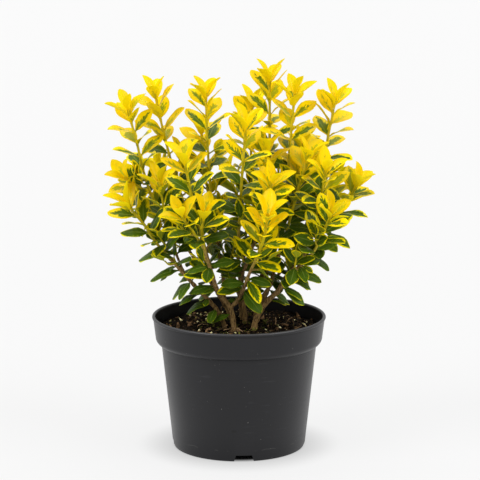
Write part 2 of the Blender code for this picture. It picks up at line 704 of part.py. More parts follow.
def make_pot(parts, cutters):
    """The turned pot: floor, inner wall, rolled lip, collar, body, foot ring and underside."""
    bend = COLLAR_RADIUS - BODY_TOP_RADIUS
    bend_centre = (BODY_TOP_RADIUS, SHOULDER + bend)
    lip_centre = (RIM_RADIUS - LIP_BEAD, POT_HEIGHT - LIP_BEAD)
    profile = [(0.0, FLOOR_TOP), (BODY_LOW_RADIUS - WALL, FLOOR_TOP),
               (BODY_TOP_RADIUS - WALL, SHOULDER + WALL)]
    profile += arc(bend_centre, bend - WALL, -75, 0, 3)
    profile += arc(lip_centre, LIP_BEAD, 190, -70, 5)
    profile += arc(bend_centre, bend, 0, -80, 4)
    profile += [(BODY_LOW_RADIUS, FOOT_EDGE), (FOOT_RADIUS, 0.0), (FOOT_RADIUS - FOOT_RING, 0.0),
                (FOOT_RADIUS - FOOT_RING - FOOT_TAPER, FLOOR_UNDERSIDE),
                (HUB_RADIUS + HUB_TAPER, FLOOR_UNDERSIDE), (HUB_RADIUS, 0.0), (0.0, 0.0)]
    pot = turned("pot", profile, parts)
    pot.data.materials.append(material(PLASTIC))
    for i in range(NOTCHES):
        foot_notch(FIRST_NOTCH_DEG + 360 * i / NOTCHES, cutters)
    for i in range(DRAIN_HOLES):
        drain_hole(360 * i / DRAIN_HOLES, cutters)
    cut(pot, cutters)
    pot.data.shade_smooth()
    pot.data.set_sharp_from_angle(angle=math.radians(35))


def soil_height(x, y):
    """Height of the soil's surface: low lumps, a little lower at the wall."""
    lumps = noise.noise(Vector((x, y, 0.0)) / SOIL_LUMPS)
    crumbs = 0.5 * noise.noise(Vector((y, x, 0.0)) / SOIL_CRUMBS)
    fall = SOIL_FALL * (math.hypot(x, y) / COLLAR_RADIUS) ** 3
    return SOIL_LEVEL + SOIL_RELIEF * (lumps + crumbs - fall + SOIL_LIFT)


def make_soil(stems, parts, cutters):
    """The soil: a plug that fills the pot, with an uneven top and a plain hole for each stem."""
    bend = COLLAR_RADIUS - BODY_TOP_RADIUS
    bend_centre = (BODY_TOP_RADIUS, SHOULDER + bend)
    profile = [(0.0, SOIL_LEVEL)] + [(radius, SOIL_LEVEL) for radius in SOIL_RINGS]
    profile += [(COLLAR_RADIUS - WALL - GAP, SOIL_LEVEL)]
    profile += arc(bend_centre, bend - WALL - GAP, 0, -75, 3)
    profile += [(BODY_TOP_RADIUS - WALL - GAP, SHOULDER + WALL),
                (BODY_LOW_RADIUS - WALL - GAP, FLOOR_TOP + GAP), (0.0, FLOOR_TOP + GAP)]
    soil = turned("soil", profile, parts)
    soil.data.materials.append(material(EARTH))
    for vert in soil.data.vertices:
        if vert.co.z > SOIL_LEVEL - 0.1 * MM:
            vert.co.z = soil_height(vert.co.x, vert.co.y)
    for branch in WOODY:
        if not branch.parent:
            top = max(HOLE_REACH / stems[branch.name].path.length, HOLE_SHARE)
            tube("hole " + branch.name, stems[branch.name], cutters, HOLE_GAP, top)
    cut(soil, cutters)


def make_plant(stems, leaves, parts, operands):
    """One solid for each node: its stems and its leaves, joined."""
    nodes = {}
    for stem in stems.values():
        nodes.setdefault(stem.branch.node, []).append(stem)
    for node, members in nodes.items():
        leaf_finish = YELLOW if node.startswith("crown") else GREEN
        stem_finish = BARK if node.startswith("stem") else leaf_finish
        body = tube(node, members[0], parts)
        body.data.materials.append(material(stem_finish))
        for stem in members[1:]:
            fork = tube(stem.branch.name, stem, operands)
            fork.data.materials.append(material(stem_finish))
        for leaf in leaves:
            if leaf.node == node:
                blade = mesh_object("leaf", *leaf.blade(), operands)
                blade.data.materials.append(material(leaf_finish))
        cut(body, operands, "UNION")


def main():
    """Builds the potted plant."""
    for obj in list(bpy.data.objects):
        bpy.data.objects.remove(obj)
    parts = bpy.data.collections.new("potted_euonymus")
    bpy.context.scene.collection.children.link(parts)
    cutters = helpers("cutters")
    operands = helpers("operands")
    stems, leaves = grow()
    make_pot(parts, cutters)
    make_soil(stems, parts, cutters)
    make_plant(stems, leaves, parts, operands)


if __name__ == "__main__":
    main()
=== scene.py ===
"""A potted euonymus: yellow-edged leaves on woody stems, rooted in a black nursery pot.

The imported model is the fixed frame. The pot, the soil, every stem and every leafy node get a finer
piece in the same place, and the plant gets the leaves that grow between those of the solids.
Metres, +Z up. The origin is the middle of the pot's underside, and -Y is the front.
"""

import json
import logging
from collections.abc import Iterator, Sequence
from dataclasses import dataclass, field, replace
from enum import Enum
from functools import partialmethod
from math import atan2, copysign, cos, degrees, exp, hypot, pi, radians, sin
from random import Random

import bmesh
import bpy
import numpy as np
from bmesh.types import BMesh
from bpy.types import Collection, Material, Mesh, Node, NodeSocket, NodeTree, Object
from mathutils import Matrix, Vector, noise
from mathutils.bvhtree import BVHTree

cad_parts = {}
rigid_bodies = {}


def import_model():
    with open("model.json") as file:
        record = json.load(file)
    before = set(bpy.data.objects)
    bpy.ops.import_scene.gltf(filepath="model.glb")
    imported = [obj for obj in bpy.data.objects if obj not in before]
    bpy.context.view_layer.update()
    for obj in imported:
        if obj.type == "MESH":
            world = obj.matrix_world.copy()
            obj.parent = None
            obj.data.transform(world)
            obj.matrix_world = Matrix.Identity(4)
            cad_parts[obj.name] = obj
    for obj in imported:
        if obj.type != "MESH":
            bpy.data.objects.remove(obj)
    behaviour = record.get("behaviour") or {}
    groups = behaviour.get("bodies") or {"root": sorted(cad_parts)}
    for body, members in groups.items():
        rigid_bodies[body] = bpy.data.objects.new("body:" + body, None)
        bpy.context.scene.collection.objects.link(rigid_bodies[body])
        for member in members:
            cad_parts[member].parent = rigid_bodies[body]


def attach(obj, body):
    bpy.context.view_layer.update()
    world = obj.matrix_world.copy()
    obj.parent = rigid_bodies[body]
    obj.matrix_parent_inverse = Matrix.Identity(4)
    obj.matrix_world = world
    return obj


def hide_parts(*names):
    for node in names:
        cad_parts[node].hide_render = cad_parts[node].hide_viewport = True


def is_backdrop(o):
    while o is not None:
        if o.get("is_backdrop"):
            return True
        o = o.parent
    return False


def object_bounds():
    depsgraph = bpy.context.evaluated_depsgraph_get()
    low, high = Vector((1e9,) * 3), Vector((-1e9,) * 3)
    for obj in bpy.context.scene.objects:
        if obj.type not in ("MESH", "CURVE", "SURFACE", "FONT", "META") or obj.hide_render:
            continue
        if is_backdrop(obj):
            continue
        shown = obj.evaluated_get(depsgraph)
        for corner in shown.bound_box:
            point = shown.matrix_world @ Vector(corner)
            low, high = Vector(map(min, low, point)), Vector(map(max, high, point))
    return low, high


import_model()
CAD_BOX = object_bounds()

MM = 0.001
BODY = "root"
OLD_RANK = 9  # shared by a stem's old leaves, which may touch one another
log = logging.getLogger("euonymus")

Colour = tuple[float, float, float]
Point = tuple[float, float, float]
Pair = tuple[float, float]
Solid = tuple[list[Vector], list[tuple[int, ...]]]  # its points and its faces


# Node trees


class Term:
    """A socket that can be reckoned with like a number."""

    def __init__(self, tree: "Tree", socket: NodeSocket) -> None:
        """Keeps the tree and the socket."""
        self.tree = tree
        self.socket = socket

    def combined(self, operation: str, *others: "Term | float") -> "Term":
        """The result of a Math node on this and up to two others."""
        return self.tree.math(operation, self, *others)

    # What the signs +, -, *, /, ** and abs() do
    __add__ = __radd__ = partialmethod(combined, "ADD")
    __sub__ = partialmethod(combined, "SUBTRACT")
    __mul__ = __rmul__ = partialmethod(combined, "MULTIPLY")
    __truediv__ = partialmethod(combined, "DIVIDE")
    __pow__ = partialmethod(combined, "POWER")
    __abs__ = partialmethod(combined, "ABSOLUTE")

    def __rsub__(self, other: float) -> "Term":
        """The difference from a number."""
        return self.tree.math("SUBTRACT", other, self)

    def rises(self, low: float, high: float) -> "Term":
        """0 under low, 1 over high, and a smooth rise between them. It falls where low is over high."""
        if low > high:
            return 1.0 - self.rises(high, low)
        return self.tree.term("ShaderNodeMapRange", {"interpolation_type": "SMOOTHSTEP"},
                              {"Value": self, "From Min": low, "From Max": high})


class Tree:
    """The nodes and links of one node tree."""

    def __init__(self, tree: NodeTree) -> None:
        """Keeps the tree."""
        self.tree = tree

    def node(self, kind: str, settings: dict | None = None, inputs: dict | None = None) -> Node:
        """Adds a node.

        Args:
            kind: The node's type.
            settings: Its settings by name.
            inputs: Values or terms of its sockets, by name or by number.

        Returns:
            The node.
        """
        made = self.tree.nodes.new(kind)
        for name, value in (settings or {}).items():
            setattr(made, name, value)
        for key, value in (inputs or {}).items():
            self.put(self.socket(made, key), value)
        return made

    def term(self, kind: str, settings: dict | None = None, inputs: dict | None = None,
             output: str | int = 0) -> Term:
        """Adds a node and gives its output of that name or number."""
        return Term(self, self.node(kind, settings, inputs).outputs[output])

    @staticmethod
    def socket(node: Node, key: str | int) -> NodeSocket:
        """The node's input of that number, or the one in use of that name."""
        if isinstance(key, int):
            return node.inputs[key]
        return next(socket for socket in node.inputs if socket.name == key and socket.enabled)

    def put(self, socket: NodeSocket, value: object) -> None:
        """Links a socket, or sets its value."""
        if isinstance(value, Term):
            self.tree.links.new(value.socket, socket)
        elif socket.type == "RGBA":
            socket.default_value = (*value, 1.0)
        else:
            socket.default_value = value

    def math(self, operation: str, *values: Term | float) -> Term:
        """A Math node on these values."""
        return self.term("ShaderNodeMath", {"operation": operation}, dict(enumerate(values)))

    def vector(self, *values: Term | float) -> Term:
        """A vector of up to three numbers."""
        return self.term("ShaderNodeCombineXYZ", inputs=dict(enumerate(values)))

    def noise(self, place: Term, scale: float, detail: float = 2.0, rough: float = 0.5) -> Term:
        """Noise from 0 to 1, mostly near 0.5."""
        return self.term("ShaderNodeTexNoise", inputs={"Vector": place, "Scale": scale, "Detail": detail,
                                                       "Roughness": rough})


class Graph(Tree):
    """A material's nodes round one Principled shader."""

    def __init__(self, name: str, constants: dict[str, float | tuple]) -> None:
        """Starts a material.

        Args:
            name: The material's name.
            constants: What is the same all over the surface, set on the shader's own sockets.
        """
        self.material = bpy.data.materials.new(name)
        self.material.use_nodes = True
        super().__init__(self.material.node_tree)
        self.shader = self.tree.nodes["Principled BSDF"]
        for socket, value in constants.items():
            self.put(self.shader.inputs[socket], value)

    def mix(self, factor: Term | float, first: Term | Colour, second: Term | Colour,
            blend: str = "MIX") -> Term:
        """The first colour turning into the second, or blended with it in another way."""
        return self.term("ShaderNodeMix", {"data_type": "RGBA", "blend_type": blend},
                         {"Factor": factor, "A": first, "B": second}, "Result")

    def shaded(self, colour: Term, factor: Term) -> Term:
        """A colour multiplied by a number."""
        grey = self.term("ShaderNodeCombineColor", inputs={0: factor, 1: factor, 2: factor})
        return self.mix(1.0, colour, grey, "MULTIPLY")

    def attribute(self, name: str) -> Term:
        """A number kept on the mesh."""
        return self.term("ShaderNodeAttribute", {"attribute_name": name}, output="Fac")

    def place(self, stretch: Point = (1, 1, 1)) -> Term:
        """The surface's place in metres, times the stretch."""
        coordinates = self.term("ShaderNodeTexCoord", output="Object")
        return self.term("ShaderNodeMapping", inputs={"Vector": coordinates, "Scale": stretch})

    def axes(self, vector: Term) -> list[Term]:
        """A vector's three numbers."""
        made = self.node("ShaderNodeSeparateXYZ", inputs={0: vector})
        return [Term(self, socket) for socket in made.outputs]

    def finish(self, colour: Term, roughness: Term | float, height: Term | None = None,
               depth: float = 0.0) -> Material:
        """Links the shader's varying sockets.

        Args:
            colour: The base colour.
            roughness: The roughness.
            height: The relief from 0 to 1, if the surface has one.
            depth: The relief's height in metres.

        Returns:
            The finished material.
        """
        self.put(self.shader.inputs["Base Color"], colour)
        self.put(self.shader.inputs["Roughness"], roughness)
        if height is not None:
            bump = self.term("ShaderNodeBump", inputs={"Height": height, "Distance": depth})
            self.put(self.shader.inputs["Normal"], bump)
        return self.material


class ShapeTree(Tree):
    """A geometry tree with named inputs. It ends in Realize Instances and Set Material."""

    def __init__(self, name: str) -> None:
        """Starts a tree with a geometry and a finish as its inputs."""
        super().__init__(bpy.data.node_groups.new(name, "GeometryNodeTree"))
        self.tree.interface.new_socket("Geometry", in_out="OUTPUT", socket_type="NodeSocketGeometry")
        self.entry = self.node("NodeGroupInput")
        self.identifiers: dict[str, str] = {}
        self.geometry = self.input("Geometry", "Geometry")
        self.finish = self.input("Finish", "Material")

    def input(self, name: str, kind: str) -> Term:
        """A named input of the tree."""
        item = self.tree.interface.new_socket(name, in_out="INPUT", socket_type="NodeSocket" + kind)
        self.identifiers[name] = item.identifier
        return Term(self, self.entry.outputs[name])

    def stored(self, name: str, kind: str = "FLOAT") -> Term:
        """A named attribute of the geometry."""
        return self.term("GeometryNodeInputNamedAttribute", {"data_type": kind}, {"Name": name})

    def chance(self, low: float, high: float, seed: Term, shift: int) -> Term:
        """A random number for each element. Shift keeps draws of one seed apart."""
        return self.term("FunctionNodeRandomValue", {"data_type": "FLOAT"},
                         {"Min": low, "Max": high, "Seed": seed + float(shift)}, 1)

    def copies(self, points: Term, shapes: Term, index: Term, turn: Term, size: Term) -> Term:
        """A copy of one shape on each point.

        Args:
            points: The points.
            shapes: The collection of shapes.
            index: Which shape each point gets.
            turn: How it is turned, as Euler angles.
            size: How it is scaled.

        Returns:
            The copies.
        """
        kinds = self.term("GeometryNodeCollectionInfo",
                          inputs={"Collection": shapes, "Separate Children": True, "Reset Children": True})
        turned = self.term("FunctionNodeEulerToRotation", inputs={0: turn})
        return self.term("GeometryNodeInstanceOnPoints",
                         inputs={"Points": points, "Instance": kinds, "Pick Instance": True,
                                 "Instance Index": index, "Rotation": turned, "Scale": size})

    def close(self, geometry: Term) -> None:
        """Ends the tree with this geometry."""
        real = self.term("GeometryNodeRealizeInstances", inputs={"Geometry": geometry})
        dressed = self.term("GeometryNodeSetMaterial", inputs={"Geometry": real, "Material": self.finish})
        self.node("NodeGroupOutput", inputs={"Geometry": dressed})

    def make(self, name: str, base: Mesh, finish: Material, **values: object) -> Object:
        """Runs the tree on a mesh.

        Args:
            name: The new object's name.
            base: What goes in as Geometry. It is removed afterwards.
            finish: The material.
            **values: The tree's other inputs by name.

        Returns:
            An object with the result as its plain mesh.
        """
        host = bpy.data.objects.new(name + "_base", base)
        bpy.context.scene.collection.objects.link(host)
        modifier = host.modifiers.new("Shape", "NODES")
        modifier.node_group = self.tree
        for key, value in {"Finish": finish, **values}.items():
            modifier[self.identifiers[key]] = value
        made = new_object(name, evaluated_mesh(host))
        host.modifiers.clear()
        bpy.data.objects.remove(host)
        bpy.data.meshes.remove(base)
        return made


# Meshes


def new_object(name: str, mesh: Mesh) -> Object:
    """An object with this mesh, in the scene."""
    mesh.name = name
    made = bpy.data.objects.new(name, mesh)
    bpy.context.scene.collection.objects.link(made)
    return made


def evaluated_mesh(obj: Object) -> Mesh:
    """The object's mesh with its modifiers worked out."""
    bpy.context.view_layer.update()
    graph = bpy.context.evaluated_depsgraph_get()
    return bpy.data.meshes.new_from_object(obj.evaluated_get(graph), preserve_all_data_layers=True,
                                           depsgraph=graph)


def plain_mesh(name: str, points: Sequence, faces: Sequence, edges: Sequence = ()) -> Mesh:
    """A mesh from its points, faces and edges."""
    mesh = bpy.data.meshes.new(name)
    mesh.from_pydata([tuple(point) for point in points], list(edges), [tuple(face) for face in faces])
    return mesh


def baked(name: str, shape: BMesh) -> Mesh:
    """A mesh of a shape, which is freed."""
    mesh = bpy.data.meshes.new(name)
    shape.to_mesh(mesh)
    shape.free()
    return mesh


def put_numbers(mesh: Mesh, name: str, values: Sequence, kind: str = "FLOAT", domain: str = "POINT") -> None:
    """Keeps numbers or vectors on a mesh as a named attribute."""
    where = "vector" if kind == "FLOAT_VECTOR" else "value"
    mesh.attributes.new(name, kind, domain).data.foreach_set(where, np.array(values).ravel())


def piece(obj: Object, slot: str, *nodes: str) -> None:
    """Makes an object a piece of the part.

    Args:
        obj: The finished object.
        slot: The record's material slot. It is not used.
        *nodes: The CAD nodes it stands for.
    """
    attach(obj, BODY)
    if nodes:
        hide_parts(*nodes)
    log.info("%s: %d faces", obj.name, len(obj.data.polygons))


# The plant's stems. Points and thicknesses are in mm


@dataclass(frozen=True)
class Branch:
    """A stem between its start and its tip."""

    name: str
    node: str
    parent: str
    points: tuple[Point, ...]  # without its start where it carries on from its parent's end
    thick: float  # at its foot
    thin: float  # at its tip
    turn: float = 0.0  # heading of its highest leaf pair, in degrees
    crown: float = 1.0  # size of the rosette on its end
    older: float = 0.0  # how much greener its leaves are than the rule says


WOODY = (
    Branch("left", "stem_left", "", ((-13, -3, 95), (-14, -4, 118), (-20, -8, 134), (-29, -10, 146),
           (-39, -12, 157), (-52, -14, 172), (-67, -17, 190)), 5.2, 3.4),
    Branch("left_fork", "stem_left", "left", ((-52, -14, 172), (-58, -13, 186)), 3.2, 2.9),
    Branch("front", "stem_front", "", ((-4, -12, 95), (-5, -12, 120), (-8, -14, 139), (-17, -18, 152),
           (-22, -23, 162), (-27, -31, 181), (-31, -36, 194)), 6.4, 3.6),
    Branch("front_fork", "stem_front", "front", ((-8, -14, 139), (-2, -17, 147), (4, -24, 160),
           (9, -32, 175)), 4.2, 3.4),
    Branch("front_rise", "stem_front", "front", ((-23, -25, 166), (-30, -26, 192)), 3.3, 2.9),
    Branch("right", "stem_right", "", ((15, -8, 95), (15, -8, 120), (21, -9, 136), (29, -10, 147),
           (39, -12, 157), (47, -15, 170), (55, -20, 179), (63, -25, 188)), 8.2, 3.4),
    Branch("right_fork", "stem_right", "right", ((36, -11, 154), (45, -3, 168), (53, 2, 177)), 3.8, 3.0),
    Branch("right_rise", "stem_right", "right", ((20, -9, 135), (25, -4, 148), (31, 0, 162), (35, 2, 176),
           (40, 1, 192)), 4.8, 3.4),
    Branch("middle", "stem_middle", "", ((5, 7, 95), (6, 6, 120), (4, 4, 144), (1, 0, 164), (-1, -6, 194)),
           5.4, 3.4),
    Branch("middle_fork", "stem_middle", "middle", ((1, 0, 164), (8, -9, 184), (14, -18, 203)), 3.6, 3.0),
    Branch("back_left", "stem_back_left", "", ((-6, 17, 95), (-7, 18, 120), (-24, 21, 152), (-46, 25, 184)),
           5.6, 3.4),
    Branch("back_left_fork", "stem_back_left", "back_left", ((-24, 21, 152), (-34, 28, 180),
           (-44, 32, 205)), 3.8, 3.0),
    Branch("back_left_rise", "stem_back_left", "back_left", ((-12, 19, 132), (-16, 24, 165),
           (-22, 26, 200)), 3.8, 3.0),
    Branch("back_right", "stem_back_right", "", ((15, 15, 95), (16, 16, 120), (20, 21, 150), (25, 27, 180),
           (28, 32, 210)), 5.8, 3.4),
    Branch("back_right_fork", "stem_back_right", "back_right", ((20, 21, 150), (30, 22, 175),
           (38, 22, 200)), 3.6, 3.0),
    Branch("back_right_low", "stem_back_right", "back_right", ((17, 18, 133), (34, 22, 158), (50, 24, 182)),
           4.0, 3.0),
    Branch("rear", "stem_rear", "", ((3, 30, 95), (3, 31, 120), (-2, 39, 150), (-14, 50, 178)), 5.8, 3.2),
    Branch("rear_fork", "stem_rear", "rear", ((1, 34, 136), (4, 52, 162), (6, 66, 186)), 3.8, 3.0),
    Branch("rear_low", "stem_rear", "rear", ((3, 32, 127), (20, 44, 152), (34, 56, 180)), 3.8, 3.0),
)

GREENS = (
    Branch("left_low", "twig_left_low", "left", ((-81, -20, 207), (-90, -22, 222), (-101, -24, 236)),
           3.0, 2.5, 20, crown=1.1),
    Branch("left_high", "twig_left_high", "left_fork", ((-66, -12, 210), (-72, -12, 236), (-75, -12, 254)),
           2.8, 2.4, 60),
    Branch("front_left", "twig_front_left", "front", ((-34, -42, 210), (-35, -47, 223), (-34, -50, 230)),
           3.2, 2.5, 5),
    Branch("front_outer", "twig_front_left", "front_left", ((-33, -39, 202), (-43, -50, 221),
           (-50, -58, 232)), 2.6, 2.4, 70),
    Branch("front_tall", "twig_front_tall", "front_rise", ((-37, -30, 220), (-44, -38, 250),
           (-50, -44, 281)), 2.8, 2.4, 15, crown=1.1),
    Branch("front_right", "twig_front_right", "front_fork", ((18, -45, 198), (24, -56, 218),
           (26, -64, 232)), 3.2, 2.6, 10, crown=1.15, older=-0.38),
    Branch("right_front", "twig_right_front", "right", ((73, -33, 202), (80, -40, 219), (85, -47, 232)),
           3.0, 2.5, 40),
    Branch("right_outer", "twig_right_outer", "right_fork", ((64, 5, 189), (79, 6, 206), (98, 2, 232),
           (111, -4, 253)), 2.9, 2.4, 30),
    Branch("right_upper", "twig_right_outer", "right_outer", ((66, 5, 191), (74, -12, 226), (79, -30, 256),
           (81, -38, 271)), 2.7, 2.4, 75),
    Branch("right_inner", "twig_right_inner", "right_rise", ((47, -4, 217), (57, -14, 257), (64, -20, 280)),
           3.2, 2.5, 25, crown=1.1),
    Branch("middle_top", "twig_middle_top", "middle", ((0, -10, 216), (2, -18, 255), (4, -24, 286),
           (6, -27, 310)), 3.2, 2.5, 35, crown=1.15),
    Branch("middle_right", "twig_middle_right", "middle_fork", ((22, -31, 235), (29, -42, 260)),
           2.9, 2.4, 55),
    Branch("middle_back", "twig_middle_right", "middle_right", ((17, -23, 214), (24, -12, 252),
           (26, -5, 284)), 2.6, 2.4, 0),
    Branch("far_left", "twig_far_left", "back_left", ((-68, 26, 215), (-84, 21, 241), (-93, 15, 270),
           (-99, 10, 299), (-105, 8, 322)), 3.2, 2.4, 65),
    Branch("left_edge", "twig_far_left", "far_left", ((-86, 20, 246), (-97, 9, 255), (-104, 2, 260)),
           2.5, 2.3, 10),
    Branch("left_back_edge", "twig_far_left", "far_left", ((-68, 26, 215), (-84, 36, 226), (-98, 42, 237)),
           2.6, 2.3, 30),
    Branch("left_tall", "twig_left_tall", "back_left_fork", ((-60, 34, 253), (-72, 35, 297),
           (-80, 35, 333)), 2.9, 2.4, 15),
    Branch("left_back", "twig_left_tall", "left_tall", ((-47, 32, 213), (-62, 50, 238), (-76, 64, 258)),
           2.6, 2.4, 50),
    Branch("inner_tall", "twig_inner_tall", "back_left_rise", ((-28, 27, 250), (-31, 28, 300),
           (-32, 28, 335)), 2.9, 2.4, 30),
    Branch("summit", "twig_summit", "back_right", ((30, 35, 260), (30, 36, 310), (30, 36, 349)),
           3.2, 2.5, 20, crown=1.05),
    Branch("right_tall", "twig_right_tall", "back_right_fork", ((46, 20, 245), (50, 16, 300),
           (53, 12, 337)), 2.9, 2.4, 70),
    Branch("right_middle", "twig_right_tall", "right_tall", ((40, 22, 209), (53, 26, 238), (61, 27, 260)),
           2.6, 2.4, 20),
    Branch("far_right", "twig_far_right", "back_right_low", ((66, 26, 215), (80, 25, 258), (85, 24, 292),
           (92, 25, 329)), 3.0, 2.4, 45),
    Branch("right_edge", "twig_far_right", "far_right", ((64, 26, 211), (84, 38, 234), (97, 45, 250)),
           2.6, 2.4, 0),
    Branch("rear_left", "twig_rear_left", "rear", ((-26, 60, 215), (-34, 67, 260), (-37, 70, 293)),
           3.0, 2.4, 10),
    Branch("rear_left_low", "twig_rear_left", "rear_left", ((-21, 55, 196), (-37, 76, 214), (-48, 92, 230)),
           2.6, 2.4, 60),
    Branch("rear_tall", "twig_rear_middle", "rear_fork", ((9, 72, 225), (12, 75, 275), (13, 75, 319)),
           2.9, 2.4, 40),
    Branch("rear_middle", "twig_rear_middle", "rear_tall", ((7, 69, 200), (2, 88, 223), (-8, 104, 246)),
           2.6, 2.4, 15),
    Branch("rear_right", "twig_rear_right", "rear_low", ((48, 60, 215), (57, 58, 250), (62, 56, 280)),
           3.0, 2.4, 50),
    Branch("rear_right_back", "twig_rear_right", "rear_right", ((36, 57, 184), (40, 78, 218),
           (40, 98, 256)), 2.6, 2.4, 25),
    Branch("rear_right_low", "twig_rear_right", "rear_right", ((42, 59, 199), (60, 68, 222), (75, 74, 246)),
           2.6, 2.4, 80),
)


@dataclass(frozen=True)
class LowLeaf:
    """An old leaf on a woody stem. Lengths in mm, angles in degrees."""

    branch: str
    share: float  # of the stem's length, from its foot
    heading: float  # in the world: 0 is +X, 90 is the back
    rise: float
    length: float
    width: float
    curl: float
    younger: float = 0.0  # how much more yellow it is than the rule says


# The first of these tables holds the leaves that the solids have too
LOW_LEAVES = (
    LowLeaf("left", 0.86, 186, -2, 32, 12, 50),
    LowLeaf("left", 0.80, 20, 30, 24, 12, 30),
    LowLeaf("left", 0.72, 232, -20, 24, 12, 30),
    LowLeaf("left", 0.58, 190, 0, 26, 12, 55),
    LowLeaf("left", 0.46, 188, 10, 28, 13, 70),
    LowLeaf("left", 0.40, 250, -20, 20, 10, 25),
    LowLeaf("front", 0.66, 200, 5, 18, 11, 40),
    LowLeaf("front", 0.80, 175, 25, 28, 13, 20, younger=0.15),
    LowLeaf("front", 0.90, 262, -20, 22, 13, 25, younger=0.2),
    LowLeaf("front_fork", 0.62, 196, 5, 26, 14, 40, younger=0.25),
    LowLeaf("front_fork", 0.58, 318, -35, 29, 15, 15),
    LowLeaf("front_fork", 0.90, 305, -38, 28, 13, 15, younger=0.42),
    LowLeaf("front_fork", 0.94, 350, -5, 24, 12, 30),
    LowLeaf("right", 0.66, 335, 0, 24, 11, 60),
    LowLeaf("right", 0.74, 348, 10, 28, 11, 70),
    LowLeaf("right", 0.86, 350, -5, 29, 13, 45),
    LowLeaf("right", 0.94, 30, 20, 24, 12, 30),
    LowLeaf("right_rise", 0.70, 120, 30, 24, 12, 25),
    LowLeaf("middle", 0.70, 200, 20, 26, 13, 25),
    LowLeaf("middle", 0.78, 290, 15, 24, 13, 25),
    LowLeaf("back_left", 0.62, 120, 15, 28, 13, 45),
    LowLeaf("back_left", 0.80, 160, 5, 30, 13, 40),
    LowLeaf("back_right", 0.60, 60, 15, 28, 13, 40),
    LowLeaf("back_right_low", 0.70, 20, 0, 28, 13, 45),
    LowLeaf("rear", 0.60, 100, 10, 28, 13, 50),
    LowLeaf("rear_fork", 0.55, 70, 10, 28, 13, 45),
    LowLeaf("rear_low", 0.60, 60, 0, 28, 13, 45),
)

MORE_LOW_LEAVES = (
    LowLeaf("front", 0.36, 191, -14, 23, 9.5, 10),
    LowLeaf("left", 0.31, 215, -8, 15, 7, 12),
    LowLeaf("front_fork", 0.20, 170, 12, 11, 7.5, 20),
    LowLeaf("left", 0.52, 262, -25, 10, 7, 20),
    LowLeaf("left", 0.80, 165, -12, 18, 10, 25),
    LowLeaf("right", 0.50, 352, 12, 19, 4.5, 95, younger=0.1),
    LowLeaf("right", 0.95, 335, -18, 14, 8.5, 20, younger=0.35),
    LowLeaf("right", 0.58, 95, 5, 20, 10, 30),
    LowLeaf("middle", 0.55, 250, 5, 19, 10, 35),
)


class Path:
    """A smooth curve through points, read by its share of the length."""

    SAMPLES = 8
    STEP = 0.02

    def __init__(self, points: Sequence[Point], start_way: Vector | None = None) -> None:
        """Works the curve out.

        Args:
            points: What it goes through, in metres.
            start_way: The way it sets off, if its parent says so.
        """
        places = np.array(points, float)
        slopes = np.gradient(places, axis=0) if len(places) > 2 else np.tile(places[1] - places[0], (2, 1))
        if start_way is not None:
            slopes[0] = np.array(start_way) * np.linalg.norm(places[1] - places[0])
        along = []
        for i in range(len(places) - 1):
            for t in np.arange(self.SAMPLES) / self.SAMPLES:
                along.append(self.hermite(places[i], places[i + 1], slopes[i], slopes[i + 1], t))
        self.places = np.array(along + [places[-1]])
        steps = np.linalg.norm(np.diff(self.places, axis=0), axis=1)
        self.lengths = np.concatenate([[0.0], np.cumsum(steps)])
        self.length = float(self.lengths[-1])

    @staticmethod
    def hermite(a: np.ndarray, b: np.ndarray, slope_a: np.ndarray, slope_b: np.ndarray,
                t: float) -> np.ndarray:
        """The point at t on the cubic between a and b."""
        t2, t3 = t * t, t * t * t
        return ((2 * t3 - 3 * t2 + 1) * a + (t3 - 2 * t2 + t) * slope_a
                + (3 * t2 - 2 * t3) * b + (t3 - t2) * slope_b)

    def at(self, share: float) -> Vector:
        """The point at this share of the length."""
        reach = min(max(share, 0.0), 1.0) * self.length
        return Vector([np.interp(reach, self.lengths, self.places[:, i]) for i in range(3)])

    def direction(self, share: float) -> Vector:
        """The way the path runs there."""
        return (self.at(share + self.STEP) - self.at(share - self.STEP)).normalized()

    def nearest(self, point: Point) -> float:
        """The share of the length that lies nearest to a point."""
        gaps = np.linalg.norm(self.places - np.array(point), axis=1)
        return float(self.lengths[int(gaps.argmin())] / self.length)


@dataclass(frozen=True)
class Stem:
    """A branch with its path, in metres."""

    branch: Branch
    path: Path

    @property
    def woody(self) -> bool:
        """Whether it has bark."""
        return self.branch in WOODY

    @property
    def under_rosette(self) -> bool:
        """Whether it is the short stem of a rosette."""
        return self.branch.node.startswith("crown_")

    def radius(self, share: float) -> float:
        """Its radius at a share of its length."""
        thick, thin = self.branch.thick, self.branch.thin
        return (thick + (thin - thick) * share) * 0.5 * MM


def around(way: Vector) -> tuple[Vector, Vector]:
    """Two directions square to a way, from which headings round a stem are measured."""
    aside = way.cross(Vector((0, 1, 0))).normalized()
    return aside, aside.cross(way)


def outward(way: Vector, heading: float) -> Vector:
    """The direction square to a way that has this heading, in radians."""
    aside, ahead = around(way)
    return aside * cos(heading) + ahead * sin(heading)


def swing(draw: Random, most: float) -> float:
    """A random number up to the most on either side of zero."""
    return draw.uniform(-most, most)


# The plant's leaves


class Stage(Enum):
    """How old a leaf is, which sets its form and colours."""

    BUD = "bud"
    CROWN = "crown"
    TWIG = "twig"
    SHOOT = "shoot"
    OLD = "old"


@dataclass(frozen=True)
class Plan:
    """A leaf that is wanted: where on its stem, how it stands and its shape. Angles in degrees."""

    share: float  # of the stem's length
    heading: float  # round the stem
    spread: float  # away from the way the stem runs
    length: float
    width: float
    curl: float
    rank: int  # of its pair, counted from the stem's tip
    stage: Stage
    younger: float = 0.0


@dataclass(frozen=True)
class Whorl:
    """A pair of leaves on a twig's end, before the random part. Lengths in mm, angles in degrees."""

    share: float
    spread: float
    length: float
    width: float
    curl: float


